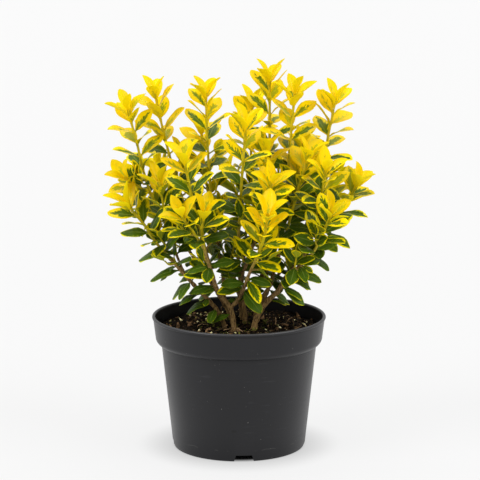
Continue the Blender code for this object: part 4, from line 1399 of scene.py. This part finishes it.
@dataclass
class LeafShapes:
    """The blades that the leaves are copies of."""

    length: float = 28 * MM
    width: float = 14 * MM
    petiole_half_width: float = 0.75 * MM
    petiole_thick: float = 1.0 * MM
    tip_half_width: float = 0.35 * MM
    thick: float = 0.38 * MM
    opening: float = 0.15  # share of the length over which the petiole turns into the blade
    curls: tuple[int, ...] = (-6, 4, 14, 24, 34, 46, 60, 76)
    waves: int = 2
    rows: tuple[float, ...] = (0.0, 0.08, 0.17, 0.29, 0.43, 0.57, 0.71, 0.84, 0.94, 1.0)
    columns: tuple[float, ...] = (-1.0, -0.52, 0.0, 0.52, 1.0)
    collection: Collection = field(init=False)

    def __post_init__(self) -> None:
        """Builds one object for each form, curl and wave."""
        self.collection = bpy.data.collections.new("leaf shapes")
        for index, (form, curl, wave) in enumerate(self.kinds()):
            mesh = self.blade(form, curl, wave)
            mesh.name = f"leaf_shape_{index:03d}"
            self.collection.objects.link(bpy.data.objects.new(mesh.name, mesh))

    def kinds(self) -> list[tuple[Blade, int, int]]:
        """All combinations of form, curl and wave, in order."""
        return [(form, curl, wave) for form in Blade for curl in self.curls for wave in range(self.waves)]

    def index(self, form: Blade, curl: float, wave: int) -> int:
        """The number of the shape nearest to these."""
        near = min(self.curls, key=lambda known: abs(known - curl))
        return self.kinds().index((form, near, wave))

    def half_width(self, share: float, form: Form) -> float:
        """Half the blade's width at a share of its length."""
        start = self.rows[1]
        if share <= start:
            return self.petiole_half_width
        wide = max(sin(pi * ((share - start) / (1 - start)) ** form.belly), 0.0)
        return max(0.5 * self.width * wide ** form.point, self.tip_half_width)

    def blade(self, form: Blade, curl: int, wave: int) -> Mesh:
        """A closed blade along +Y with its upper side up.

        Args:
            form: Its form.
            curl: How far it bends back from root to tip, in degrees.
            wave: Which of its waves it has.

        Returns:
            Its mesh, with a UV map across and along it, and its underside marked.
        """
        kind = form.value
        bend, fold = radians(curl), radians(kind.fold)
        tops, backs = [], []
        for share in self.rows:
            angle = bend * share
            centre = self.length * Vector((0, sin(angle) / bend, (cos(angle) - 1) / bend))
            normal = Vector((0, sin(angle), cos(angle)))
            half = self.half_width(share, kind)
            opened = min(max((share - self.rows[1]) / self.opening, 0.0), 1.0)
            thick = self.petiole_thick + (self.thick - self.petiole_thick) * opened
            for side in self.columns:
                lift = abs(side) ** 1.3 * half * sin(fold) - kind.roll * half * side ** 4
                phase = 9 * share + 2.4 * wave + 1.7 * (side > 0)
                ripple = kind.ripple * MM * side ** 2 * sin(phase)
                place = centre + normal * (lift + ripple) * opened
                place.x += side * half * cos(fold * opened)
                tops.append(place)
                if abs(side) < 1:
                    backs.append(place - normal * thick)
        return self.closed(tops, backs)

    def closed(self, tops: Sequence[Vector], backs: Sequence[Vector]) -> Mesh:
        """The mesh between an upper sheet and a lower one that shares its rim."""
        rows, columns = len(self.rows), len(self.columns)

        def at(i: int, j: int, back: bool) -> int:
            """A point's number."""
            inner = back and 0 < j < columns - 1
            return len(tops) + i * (columns - 2) + j - 1 if inner else i * columns + j

        faces, under = [], []
        for i in range(rows - 1):
            for j in range(columns - 1):
                ring = ((i, j), (i, j + 1), (i + 1, j + 1), (i + 1, j))
                faces.append([at(*spot, False) for spot in ring])
                faces.append([at(*spot, True) for spot in reversed(ring)])
                under += [0.0, 1.0]
        for i in (0, rows - 1):
            ring = [at(i, j, True) for j in range(columns)]
            ring += [at(i, j, False) for j in range(columns - 2, 0, -1)]
            faces.append(ring if i == 0 else ring[::-1])
            under.append(1.0)
        mesh = plain_mesh("blade", list(tops) + list(backs), faces)
        put_numbers(mesh, "under", under, domain="FACE")
        spots = [(0.5 + 0.5 * side, share) for share in self.rows for side in self.columns]
        spots += [(0.5 + 0.5 * side, share) for share in self.rows for side in self.columns[1:-1]]
        uv = mesh.uv_layers.new(name="UVMap")
        uv.data.foreach_set("uv", np.array([spots[loop.vertex_index] for loop in mesh.loops]).ravel())
        mesh.shade_smooth()
        mesh.set_sharp_from_angle(angle=radians(60))
        return mesh


@dataclass(frozen=True)
class Ageing:
    """How leaves of one stage age, from 0, which is yellow, to 1, which is dark green."""

    start: float
    by_rank: float
    by_shade: float
    low: float  # of the random part
    high: float
    least: float = -1.0
    most: float = 1.0

    def at(self, rank: int, shade: float, older: float, draw: Random) -> float:
        """The age at this rank and in this shade, on a stem that is so much older."""
        age = self.start + self.by_rank * rank + self.by_shade * shade + older
        return max(min(age + draw.uniform(self.low, self.high), self.most), self.least)


AGEING = {
    Stage.BUD: Ageing(0.0, 0.0, 0.0, 0.0, 0.05),
    Stage.CROWN: Ageing(0.03, 0.12, 0.0, -0.05, 0.1, least=0.0),
    Stage.TWIG: Ageing(0.275, 0.075, 0.38, -0.13, 0.13, most=0.98),
    Stage.SHOOT: Ageing(0.33, 0.1, 0.36, -0.08, 0.08),
    Stage.OLD: Ageing(0.82, 0.0, 0.12, -0.1, 0.1),
}


@dataclass
class Foliage:
    """The leaves of every leafy node, as copies of the blades."""

    growth: Growth
    shapes: LeafShapes
    light: Point = (0.0, -0.6, 0.8)
    crown_roll: float = 8  # how far a leaf turns to the light at most, in degrees
    twig_roll: float = 24
    old_roll: float = 26
    dark_level: float = 270 * MM  # leaves grow darker under this height
    dark_depth: float = 75 * MM  # and are darkest this far under it
    bright: float = -0.3  # the shade of the highest leaves
    old_form: float = 0.72  # the age from which a blade has the form of an old one
    widening: float = 1.06  # of blades, against the plan
    old_widening: float = 0.97
    tree: ShapeTree = field(init=False)

    LOOKS = {"turn": "FLOAT_VECTOR", "size": "FLOAT_VECTOR", "shape": "INT", "age": "FLOAT",
             "tone": "FLOAT", "skew": "FLOAT"}

    def __post_init__(self) -> None:
        """Builds the tree that puts a blade on each point."""
        self.tree = ShapeTree("leaves on points")
        shapes, index = self.tree.input("Shapes", "Collection"), self.tree.stored("shape", "INT")
        turn, size = (self.tree.stored(name, "FLOAT_VECTOR") for name in ("turn", "size"))
        self.tree.close(self.tree.copies(self.tree.geometry, shapes, index, turn, size))

    def age(self, leaf: Leaf, draw: Random) -> float:
        """The leaf's age by its stage, its rank, the shade and its stem."""
        plan = leaf.plan
        above = len(self.growth.crown.whorls) if plan.stage is Stage.TWIG else 0
        shade = min(max((self.dark_level - leaf.root.z) / self.dark_depth, self.bright), 1.0)
        older = self.growth.stems[leaf.stem].branch.older
        return AGEING[plan.stage].at(plan.rank - above, shade, older, draw) - plan.younger

    def roll(self, leaf: Leaf, draw: Random) -> float:
        """The leaf's turning about its midrib, towards the light and a little at random."""
        most = {Stage.BUD: self.crown_roll, Stage.CROWN: self.crown_roll, Stage.OLD: self.old_roll}
        turning = leaf.lit_roll(Vector(self.light), radians(most.get(leaf.plan.stage, self.twig_roll)))
        return turning + swing(draw, radians(self.crown_roll))

    def form(self, leaf: Leaf, age: float) -> Blade:
        """The form of a leaf's blade."""
        if leaf.plan.stage in (Stage.BUD, Stage.CROWN):
            return Blade.YOUNG
        return Blade.GROWN if age < self.old_form else Blade.OLD

    def looks(self, leaf: Leaf, draw: Random) -> dict[str, object]:
        """What the tree and the finish have to know of a leaf."""
        plan, age = leaf.plan, self.age(leaf, draw)
        stretch = plan.length / self.shapes.length
        widening = self.old_widening if plan.stage is Stage.OLD else self.widening
        wide = widening * plan.width / self.shapes.width
        return {"age": age, "tone": draw.random(), "skew": draw.uniform(-1, 1),
                "turn": leaf.turn(self.roll(leaf, draw)), "size": (wide, stretch, stretch),
                "shape": self.shapes.index(self.form(leaf, age), plan.curl,
                                           draw.randrange(self.shapes.waves))}

    def build(self, name: str, leaves: Sequence[Leaf], finish: Material) -> Object:
        """The leaves as one object.

        Args:
            name: The object's name.
            leaves: The leaves in it.
            finish: Their material.

        Returns:
            The object.
        """
        rows = [self.looks(leaf, Random(f"look {leaf.stem} {leaf.plan.rank} {number}"))
                for number, leaf in enumerate(leaves)]
        points = plain_mesh(name, [leaf.root for leaf in leaves], [])
        for key, kind in self.LOOKS.items():
            put_numbers(points, key, [row[key] for row in rows], kind)
        return self.tree.make(name, points, finish, Shapes=self.shapes.collection)

    def dress(self) -> None:
        """Builds and places the leaves of each node."""
        yellow = LeafFinish("young yellow leaf", shine=0.07, glow=0.4).make()
        green = LeafFinish("variegated leaf").make()
        nodes: dict[str, list[Leaf]] = {}
        for leaf in self.growth.leaves:
            nodes.setdefault(leaf.node, []).append(leaf)
        for node, leaves in nodes.items():
            crown = node.startswith("crown")
            made = self.build("leaves_" + node, leaves, yellow if crown else green)
            piece(made, "yellow_leaf" if crown else "green_leaf", node)


@dataclass
class Skins:
    """The stems' round skins, with swellings at the leaf pairs and a bud on every tip."""

    growth: Growth
    step: float = 1.8 * MM
    sides: int = 12
    taper: float = 0.65  # under 1, a woody stem gets slim sooner
    slimness: float = 0.95
    swelling: float = 0.24
    swelling_reach: float = 1.5 * MM
    scar_step: float = 11 * MM
    bud: float = 4 * MM
    bud_profile: tuple[Pair, ...] = ((0.35, 0.95), (0.7, 0.6), (1.0, 0.12))
    knob_scale: float = 230.0
    woody_knobs: float = 1.3 * MM
    green_knobs: float = 0.3 * MM
    tree: ShapeTree = field(init=False)

    def __post_init__(self) -> None:
        """Builds the tree that turns lines into stems."""
        tree = ShapeTree("stems along lines")
        sides, knobs = tree.input("Sides", "Int"), tree.input("Knobs", "Float")
        line = tree.term("GeometryNodeMeshToCurve", inputs={"Mesh": tree.geometry})
        ring = tree.term("GeometryNodeCurvePrimitiveCircle", inputs={"Resolution": sides, "Radius": 1.0})
        skin = tree.term("GeometryNodeCurveToMesh", inputs={"Curve": line, "Profile Curve": ring,
                                                            "Scale": tree.stored("thick"),
                                                            "Fill Caps": True})
        height = (tree.noise(tree.term("GeometryNodeInputPosition"), self.knob_scale) - 0.5) * knobs
        shift = tree.term("ShaderNodeVectorMath", {"operation": "SCALE"},
                          {"Vector": tree.term("GeometryNodeInputNormal"), "Scale": height})
        rough = tree.term("GeometryNodeSetPosition", inputs={"Geometry": skin, "Offset": shift})
        tree.close(tree.term("GeometryNodeSetShadeSmooth", inputs={"Geometry": rough}))
        self.tree = tree

    def line(self, stem: Stem, knots: Sequence[float]) -> tuple[list[Vector], list[float]]:
        """A stem's points and radii, thicker at its knots."""
        count = max(3, round(stem.path.length / self.step) + 1)
        places, radii = [], []
        for i in range(count):
            share = i / (count - 1)
            swell = sum(exp(-((share - knot) * stem.path.length / self.swelling_reach) ** 2)
                        for knot in knots)
            places.append(stem.path.at(share))
            radius = self.slimness * stem.radius(share ** self.taper if stem.woody else share)
            radii.append(radius * (1 + self.swelling * min(swell, 1.0)))
        return places, radii

    def scars(self, stem: Stem) -> list[float]:
        """Where leaves have stood on a woody stem, as shares of its length."""
        draw = Random(f"scars {stem.branch.name}")
        places, along = [], draw.uniform(0.2, 1.0) * self.scar_step
        while along < stem.path.length:
            places.append(along / stem.path.length)
            along += self.scar_step * draw.uniform(0.75, 1.25)
        return places

    def fresh(self, stem: Stem, share: float) -> float:
        """How young the skin is there: 0 is bark, 1 is the yellow skin under a rosette."""
        if stem.under_rosette:
            return 1.0
        if stem.woody:
            return 0.3 * share * (share > 0.5)
        height = stem.path.at(share).z
        return min(max(0.25 + 0.55 * share + (height - 200 * MM) / (350 * MM), 0.1), 1.0)

    def build(self, name: str, stems: Sequence[Stem], finish: Material, knobs: float) -> Object:
        """The skins of several stems as one object."""
        points, edges, thick, fresh = [], [], [], []
        for stem in stems:
            pairs = {round(leaf.plan.share, 3) for leaf in self.growth.leaves
                     if leaf.stem == stem.branch.name and leaf.plan.rank >= 0}
            knots = self.scars(stem) if stem.woody else sorted(pairs)
            places, radii = self.line(stem, knots)
            first = len(points)
            for i, place in enumerate(places):
                points.append(place)
                thick.append(radii[i])
                fresh.append(self.fresh(stem, i / (len(places) - 1)))
            if stem.under_rosette:
                way = stem.path.direction(1.0)
                for rise, width in self.bud_profile:
                    points.append(places[-1] + way * self.bud * rise)
                    thick.append(radii[-1] * width)
                    fresh.append(1.0)
            edges += [(i, i + 1) for i in range(first, len(points) - 1)]
        base = plain_mesh(name, points, [], edges)
        put_numbers(base, "thick", thick)
        put_numbers(base, "fresh", fresh)
        return self.tree.make(name, base, finish, Sides=self.sides, Knobs=knobs)

    def dress(self) -> None:
        """Builds and places the skins, node by node. A rosette's stem goes with its twig."""
        finish = StemFinish().make()
        nodes: dict[str, list[Stem]] = {}
        for stem in self.growth.stems.values():
            owner = self.growth.stems[stem.branch.parent] if stem.under_rosette else stem
            nodes.setdefault(owner.branch.node, []).append(stem)
        for node, stems in nodes.items():
            woody = stems[0].woody
            made = self.build("skin_" + node, stems, finish, self.woody_knobs if woody else self.green_knobs)
            piece(made, "bark" if woody else "green_leaf", node)


def turned_mesh(name: str, profile: Sequence[Pair], steps: int) -> Mesh:
    """A profile of (radius, height) points turned about the Z axis."""
    edges = [(i, i + 1) for i in range(len(profile) - 1)]
    host = new_object(name, plain_mesh(name, [(radius, 0.0, height) for radius, height in profile], [],
                                       edges))
    screw = host.modifiers.new("Turn", "SCREW")
    screw.axis = "Z"
    screw.steps = screw.render_steps = steps
    screw.use_merge_vertices = True
    screw.merge_threshold = 0.01 * MM
    mesh = evaluated_mesh(host)
    bpy.data.objects.remove(host)
    return mesh


def arc(centre: Pair, radius: float, start: float, end: float, count: int) -> list[Pair]:
    """Points on an arc, angles in degrees from +X towards +Z."""
    angles = [radians(start + (end - start) * i / (count - 1)) for i in range(count)]
    return [(centre[0] + radius * cos(a), centre[1] + radius * sin(a)) for a in angles]


@dataclass
class Pot:
    """The nursery pot, turned finely, with its notches and drain holes cut."""

    rim_radius: float = 85 * MM
    height: float = 130 * MM
    lip_bead: float = 1.6 * MM
    collar_radius: float = 81.7 * MM
    shoulder: float = 102 * MM
    body_top_radius: float = 74.8 * MM
    body_low_radius: float = 65.3 * MM
    foot_radius: float = 64 * MM
    wall: float = 1.3 * MM
    foot_ring: float = 3 * MM
    foot_taper: float = 0.8 * MM
    foot_edge: float = 3 * MM
    floor_underside: float = 6.5 * MM
    floor_top: float = 8 * MM
    hub_radius: float = 15 * MM
    hub_taper: float = 1 * MM
    notches: int = 4
    notch_widths: Pair = (20 * MM, 15.5 * MM)
    notch_height: float = 6.2 * MM
    notch_depths: Pair = (-8 * MM, 6 * MM)  # inside and outside the foot's radius
    first_notch: float = 274.3
    drain_holes: int = 6
    drain_hole_radius: float = 4 * MM
    drain_circle: float = 40 * MM
    steps: int = 128

    @property
    def bend(self) -> float:
        """The radius of the bend between the body and the collar."""
        return self.collar_radius - self.body_top_radius

    @property
    def bend_centre(self) -> Pair:
        """The centre of that bend."""
        return self.body_top_radius, self.shoulder + self.bend

    def profile(self) -> list[Pair]:
        """Floor, inner wall, rolled lip, collar, body, foot ring and underside."""
        lip_centre = (self.rim_radius - self.lip_bead, self.height - self.lip_bead)
        points = [(0.0, self.floor_top), (self.body_low_radius - self.wall, self.floor_top),
                  (self.body_top_radius - self.wall, self.shoulder + self.wall)]
        points += arc(self.bend_centre, self.bend - self.wall, -75, 0, 7)
        points += arc(lip_centre, self.lip_bead, 190, -70, 13)
        points += arc(self.bend_centre, self.bend, 0, -80, 11)
        points += [(self.body_low_radius, self.foot_edge), (self.foot_radius, 0.0),
                   (self.foot_radius - self.foot_ring, 0.0),
                   (self.foot_radius - self.foot_ring - self.foot_taper, self.floor_underside),
                   (self.hub_radius + self.hub_taper, self.floor_underside), (self.hub_radius, 0.0),
                   (0.0, 0.0)]
        return points

    def notch(self, heading: float) -> BMesh:
        """The cutter of one drain notch: a short wedge, narrower at its top."""
        shape = bmesh.new()
        bmesh.ops.create_cube(shape, size=1.0)
        turn = radians(heading)
        for vert in shape.verts:
            low = vert.co.z < 0
            height = -2 * MM if low else self.notch_height
            radius = self.foot_radius + self.notch_depths[1 if vert.co.x > 0 else 0]
            across = copysign(0.5 * self.notch_widths[0 if low else 1], vert.co.y)
            vert.co = (radius * cos(turn) - across * sin(turn),
                       radius * sin(turn) + across * cos(turn), height)
        return shape

    def drain(self, heading: float) -> BMesh:
        """The cutter of one round hole in the floor."""
        shape = bmesh.new()
        bmesh.ops.create_cone(shape, cap_ends=True, segments=24, radius1=self.drain_hole_radius,
                              radius2=self.drain_hole_radius, depth=3 * self.floor_top)
        turn = radians(heading)
        bmesh.ops.translate(shape, verts=shape.verts,
                            vec=(self.drain_circle * cos(turn), self.drain_circle * sin(turn),
                                 self.floor_top))
        return shape

    def build(self) -> Object:
        """The pot with everything cut."""
        pot = new_object("pot_shell", turned_mesh("pot_shell", self.profile(), self.steps))
        cutters = bpy.data.collections.new("pot cutters")
        bpy.context.scene.collection.children.link(cutters)
        shapes = [self.notch(self.first_notch + 360 * i / self.notches) for i in range(self.notches)]
        shapes += [self.drain(360 * i / self.drain_holes) for i in range(self.drain_holes)]
        for shape in shapes:
            cutters.objects.link(bpy.data.objects.new("cutter", baked("cutter", shape)))
        boolean = pot.modifiers.new("Cut", "BOOLEAN")
        boolean.operand_type = "COLLECTION"
        boolean.collection = cutters
        boolean.solver = "EXACT"
        pot.data = evaluated_mesh(pot)
        pot.modifiers.clear()
        for cutter in list(cutters.objects):
            bpy.data.objects.remove(cutter)
        bpy.data.collections.remove(cutters)
        pot.data.shade_smooth()
        pot.data.set_sharp_from_angle(angle=radians(32))
        return pot

    def dress(self) -> None:
        """Builds, paints and places the pot."""
        pot = self.build()
        pot.data.materials.clear()
        pot.data.materials.append(PotFinish().make())
        piece(pot, "pot", "pot")


@dataclass(frozen=True)
class Litter:
    """One kind of litter: how it is strewn over the soil. Lengths in mm."""

    name: str
    shapes: Collection
    finish: Material
    reach: float  # from the pot's axis
    density: float  # bits on a square metre
    smallest: float
    largest: float
    seed: int


@dataclass
class Soil:
    """The potting soil: a rough bed and the litter on it."""

    pot: Pot
    gap: float = 0.3 * MM
    level: float = 116 * MM
    relief: float = 3.2 * MM
    lumps: float = 26 * MM
    crumbs: float = 10.4 * MM
    fall: float = 0.15
    lift: float = 0.4
    clods: float = 2.3 * MM
    clod_size: float = 9 * MM
    rings: int = 48
    steps: int = 160
    tilt: float = 0.9  # of the litter, in radians
    small_share: float = 2.2  # the higher, the more of the litter is small
    root_thick: float = 0.035  # against its length
    root_steps: int = 6
    sprig_blades: int = 9
    tree: ShapeTree = field(init=False)

    def __post_init__(self) -> None:
        """Builds the tree that strews shapes over a surface."""
        tree = ShapeTree("litter on a surface")
        shapes = tree.input("Shapes", "Collection")
        density, small, large = (tree.input(name, "Float") for name in ("Density", "Smallest", "Largest"))
        seed = tree.input("Seed", "Int")
        spots = tree.term("GeometryNodeDistributePointsOnFaces", {"distribute_method": "RANDOM"},
                          {"Mesh": tree.geometry, "Density": density, "Seed": seed})
        toned = tree.term("GeometryNodeStoreNamedAttribute", {"data_type": "FLOAT", "domain": "POINT"},
                          {"Geometry": spots, "Name": "tone", "Value": tree.chance(0.0, 1.0, seed, 11)})
        turn = tree.vector(*(tree.chance(-self.tilt, self.tilt, seed, shift) for shift in (21, 31)),
                           tree.chance(0.0, 6.28, seed, 41))
        draw = tree.chance(0.0, 1.0, seed, 51) ** self.small_share
        size = tree.term("ShaderNodeMapRange", inputs={"Value": draw, "To Min": small, "To Max": large})
        kind = tree.term("FunctionNodeRandomValue", {"data_type": "INT"},
                         {"Min": 0, "Max": 99, "Seed": seed}, 2)
        tree.close(tree.copies(toned, shapes, kind, turn, size))
        self.tree = tree

    def height(self, x: float, y: float) -> float:
        """Height of the soil's surface: the solid's lumps with finer clods on them."""
        lumps = noise.noise(Vector((x, y, 0.0)) / self.lumps)
        crumbs = 0.5 * noise.noise(Vector((y, x, 0.0)) / self.crumbs)
        fall = self.fall * (hypot(x, y) / self.pot.collar_radius) ** 3
        clods = noise.fractal(Vector((x, y, 0.4)) / self.clod_size, 0.9, 2.1, 4)
        return self.level + self.relief * (lumps + crumbs - fall + self.lift) + self.clods * clods

    def bed(self) -> Object:
        """The plug of soil that fills the pot, with its rough top."""
        pot = self.pot
        edge = pot.collar_radius - pot.wall - self.gap
        profile = [(edge * i / self.rings, self.level) for i in range(self.rings + 1)]
        profile += arc(pot.bend_centre, pot.bend - pot.wall - self.gap, 0, -75, 4)
        profile += [(pot.body_top_radius - pot.wall - self.gap, pot.shoulder + pot.wall),
                    (pot.body_low_radius - pot.wall - self.gap, pot.floor_top + self.gap),
                    (0.0, pot.floor_top + self.gap)]
        mesh = turned_mesh("soil_bed", profile, self.steps)
        for vert in mesh.vertices:
            if vert.co.z > self.level - 0.1 * MM:
                vert.co.z = self.height(vert.co.x, vert.co.y)
        mesh.shade_smooth()
        return new_object("soil_bed", mesh)

    def top(self, reach: float) -> Mesh:
        """The faces of the bed's top within this distance of the pot's axis."""
        shape = bmesh.new()
        shape.from_mesh(bpy.data.objects["soil_bed"].data)
        low = self.level - 12 * MM
        away = [face for face in shape.faces
                if face.calc_center_median().z < low or face.normal.z < 0.2
                or face.calc_center_median().xy.length > reach]
        bmesh.ops.delete(shape, geom=away, context="FACES")
        return baked("soil top", shape)

    @staticmethod
    def lump(number: int, stretch: Point, rough: float, detail: int = 1) -> Mesh:
        """A knobbly lump about 1 across, stretched."""
        shape = bmesh.new()
        bmesh.ops.create_icosphere(shape, subdivisions=detail, radius=0.5)
        for vert in shape.verts:
            push = 1 + rough * noise.noise(vert.co * 2.3 + Vector((number * 7.1, 0, 0)))
            vert.co = [vert.co[i] * push * stretch[i] for i in range(3)]
        return baked(f"lump {number}", shape)

    def rootlet(self, number: int) -> Mesh:
        """A thin bent root about 1 long."""
        draw = Random(number)
        curve = bpy.data.curves.new("rootlet", "CURVE")
        curve.dimensions = "3D"
        curve.bevel_depth = self.root_thick
        curve.bevel_resolution = 0
        curve.use_fill_caps = True
        spline = curve.splines.new("POLY")
        spline.points.add(self.root_steps)
        place, way = Vector((-0.5, 0, 0.05)), Vector((1, 0, 0.5))
        for point in spline.points:
            point.co = (*place, 1.0)
            place = place + way.normalized() / self.root_steps
            way += Vector((0, draw.uniform(-0.8, 0.8), draw.uniform(-0.7, 0.35)))
        host = bpy.data.objects.new("rootlet", curve)
        bpy.context.scene.collection.objects.link(host)
        mesh = evaluated_mesh(host)
        bpy.data.objects.remove(host)
        shape = bmesh.new()
        shape.from_mesh(mesh)
        bmesh.ops.remove_doubles(shape, verts=shape.verts, dist=0.0001)
        shape.to_mesh(mesh)
        shape.free()
        return mesh

    def sprig(self, number: int) -> Mesh:
        """A tuft of moss about 1 high: slim pointed blades from one spot."""
        draw = Random(number)
        shape = bmesh.new()
        for _ in range(self.sprig_blades):
            heading, lean = draw.uniform(0, 6.28), draw.uniform(0.15, 1.1)
            way = Vector((cos(heading) * sin(lean), sin(heading) * sin(lean), cos(lean)))
            made = bmesh.ops.create_cone(shape, cap_ends=True, segments=5, radius1=0.09, radius2=0.015,
                                         depth=draw.uniform(0.6, 1.0))
            turn = Vector((0, 0, 1)).rotation_difference(way).to_matrix()
            bmesh.ops.rotate(shape, verts=made["verts"], cent=(0, 0, 0), matrix=turn)
            bmesh.ops.translate(shape, verts=made["verts"], vec=way * 0.4)
        return baked(f"sprig {number}", shape)

    @staticmethod
    def shapes(name: str, meshes: Sequence[Mesh]) -> Collection:
        """A collection of these shapes, which isn't in the scene."""
        made = bpy.data.collections.new(name)
        for number, mesh in enumerate(meshes):
            mesh.shade_smooth()
            made.objects.link(bpy.data.objects.new(f"{name} {number:02d}", mesh))
        return made

    def litter(self) -> tuple[Litter, ...]:
        """All kinds of litter."""
        crumbs = self.shapes("crumbs", [self.lump(i, (1, 0.8, 0.7), 0.9) for i in range(6)])
        chips = self.shapes("chips", [self.lump(i, (1.5, 0.7, 0.32), 1.1, 2) for i in range(20, 25)])
        grit = self.shapes("grit", [self.lump(i, (1, 0.65, 0.5), 1.1) for i in range(40, 45)])
        roots = self.shapes("roots", [self.rootlet(i) for i in range(6)])
        sprigs = self.shapes("sprigs", [self.sprig(i) for i in range(4)])
        brown = SoilFinish("soil crumbs", WET, (0.21, 0.122, 0.055), -0.02, 3.2).make()
        bark = SoilFinish("bark chips", (0.012, 0.006, 0.003), (0.38, 0.215, 0.105), 0.02, 2.0).make()
        pale = SoilFinish("pale grit", (0.22, 0.18, 0.05), (0.92, 0.82, 0.45), 0.2, 1.2).make()
        root = SoilFinish("rootlets", (0.07, 0.04, 0.018), (0.45, 0.29, 0.15), 0.05, 1.5).make()
        moss = SoilFinish("moss", (0.035, 0.042, 0.005), (0.24, 0.24, 0.045)).make()
        return (Litter("soil_crumbs", crumbs, brown, 77, 80000.0, 1.0, 5.0, seed=3),
                Litter("bark_chips", chips, bark, 75, 6500.0, 2.0, 8.0, seed=6),
                Litter("pale_grit", grit, pale, 76, 6500.0, 0.7, 6.0, seed=8),
                Litter("olive_bits", grit, moss, 76, 3000.0, 1.0, 5.0, seed=34),
                Litter("rootlets", roots, root, 69, 4600.0, 5.0, 16.0, seed=13),
                Litter("moss", sprigs, moss, 38, 9000.0, 2.0, 6.5, seed=21))

    def dress(self) -> None:
        """Builds, paints and places the bed and its litter."""
        bed = self.bed()
        bed.data.materials.append(SoilFinish("damp soil", WET, (0.045, 0.025, 0.010), 0.16).make())
        piece(bed, "soil", "soil")
        for kind in self.litter():
            made = self.tree.make(kind.name, self.top(kind.reach * MM), kind.finish, Shapes=kind.shapes,
                                  Density=kind.density, Smallest=kind.smallest * MM,
                                  Largest=kind.largest * MM, Seed=kind.seed)
            piece(made, "soil")


@dataclass(frozen=True)
class Sun:
    """A soft lamp far away. Angles are in degrees."""

    strength: float
    tilt: float  # from straight above
    heading: float
    softness: float


@dataclass
class Studio:
    """The pale floor, the soft light and the camera at the photograph's angle."""

    floor_size: float = 60.0
    floor_colour: Colour = (0.10, 0.10, 0.10)
    floor_glow: float = 0.778  # softens the shadows as a light table does
    # Shares of the glow, and the distances from the pot's axis between which each comes in. Where the glow
    # falls off towards the pot, it paints a soft shadow round the pot's foot
    glow_rises_round_painted_shadow: tuple[Point, ...] = ((0.72, 0.055, 0.067), (0.28, 0.058, 0.105))
    drop: float = 0.2 * MM  # of the floor under the pot's foot
    sky: float = 0.65
    lens: float = 152.45
    sensor: float = 36
    camera_place: Point = (0.001, -1.94, 0.576)
    camera_fall: float = 10.85  # degrees below level
    suns: tuple[Sun, ...] = (Sun(1.62, 50, -62, 32), Sun(1.47, 50, 66, 38), Sun(1.10, 20, 175, 45))

    def floor_finish(self) -> Material:
        """A pale floor that glows a little, but not under the pot. The glow fades towards the pot as a
        painted shadow round its foot.
        """
        g = Graph("pale floor", {"Roughness": 0.9, "Specular IOR Level": 0.1,
                                 "Emission Strength": self.floor_glow})
        x, y, _ = g.axes(g.place())
        away = (x * x + y * y) ** 0.5
        # The glow fades near the pot: a painted shadow round its foot
        glow = sum(share * away.rises(start, end) for share, start, end in self.glow_rises_round_painted_shadow)
        g.put(g.shader.inputs["Emission Color"], g.mix(glow, (0.0, 0.0, 0.0), (1.0, 1.0, 1.0)))
        g.put(g.shader.inputs["Base Color"], self.floor_colour)
        return g.material

    def build(self) -> None:
        """Makes the floor, the lights and the camera."""
        shape = bmesh.new()
        bmesh.ops.create_grid(shape, x_segments=1, y_segments=1, size=self.floor_size / 2)
        floor = new_object("floor", baked("floor", shape))
        floor.location.z = -self.drop
        floor.data.materials.append(self.floor_finish())
        floor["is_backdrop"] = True
        world = bpy.data.worlds.new("studio")
        world.use_nodes = True
        sky = world.node_tree.nodes["Background"]
        sky.inputs["Color"].default_value = (1.0, 1.0, 1.0, 1.0)
        sky.inputs["Strength"].default_value = self.sky
        bpy.context.scene.world = world
        bpy.context.scene.view_settings.view_transform = "Standard"
        for number, sun in enumerate(self.suns):
            light = bpy.data.lights.new(f"sun_{number}", "SUN")
            light.energy = sun.strength
            light.angle = radians(sun.softness)
            lamp = bpy.data.objects.new(light.name, light)
            lamp.rotation_euler = (radians(sun.tilt), 0, radians(sun.heading))
            bpy.context.scene.collection.objects.link(lamp)
        data = bpy.data.cameras.new("camera")
        data.lens = self.lens
        data.sensor_width = self.sensor
        camera = bpy.data.objects.new("camera", data)
        camera.location = self.camera_place
        camera.rotation_euler = (radians(90 - self.camera_fall), 0, 0)
        bpy.context.scene.collection.objects.link(camera)
        bpy.context.scene.camera = camera


def write_sizes() -> None:
    """Works out the solids' box and the dressed part's box, and keeps neither."""
    boxes = {"cad": CAD_BOX, "visual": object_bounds()}
    {name: [list(corner) for corner in box] for name, box in boxes.items()}


def main() -> None:
    """Builds the dressed plant and its studio."""
    logging.basicConfig(level=logging.INFO, format="%(name)s %(message)s")
    Studio().build()
    pot = Pot()
    pot.dress()
    Soil(pot).dress()
    growth = Growth()
    growth.grow()
    log.info("%d stems, %d leaves", len(growth.stems), len(growth.leaves))
    Skins(growth).dress()
    Foliage(growth, LeafShapes()).dress()
    write_sizes()


if __name__ == "__main__":
    main()
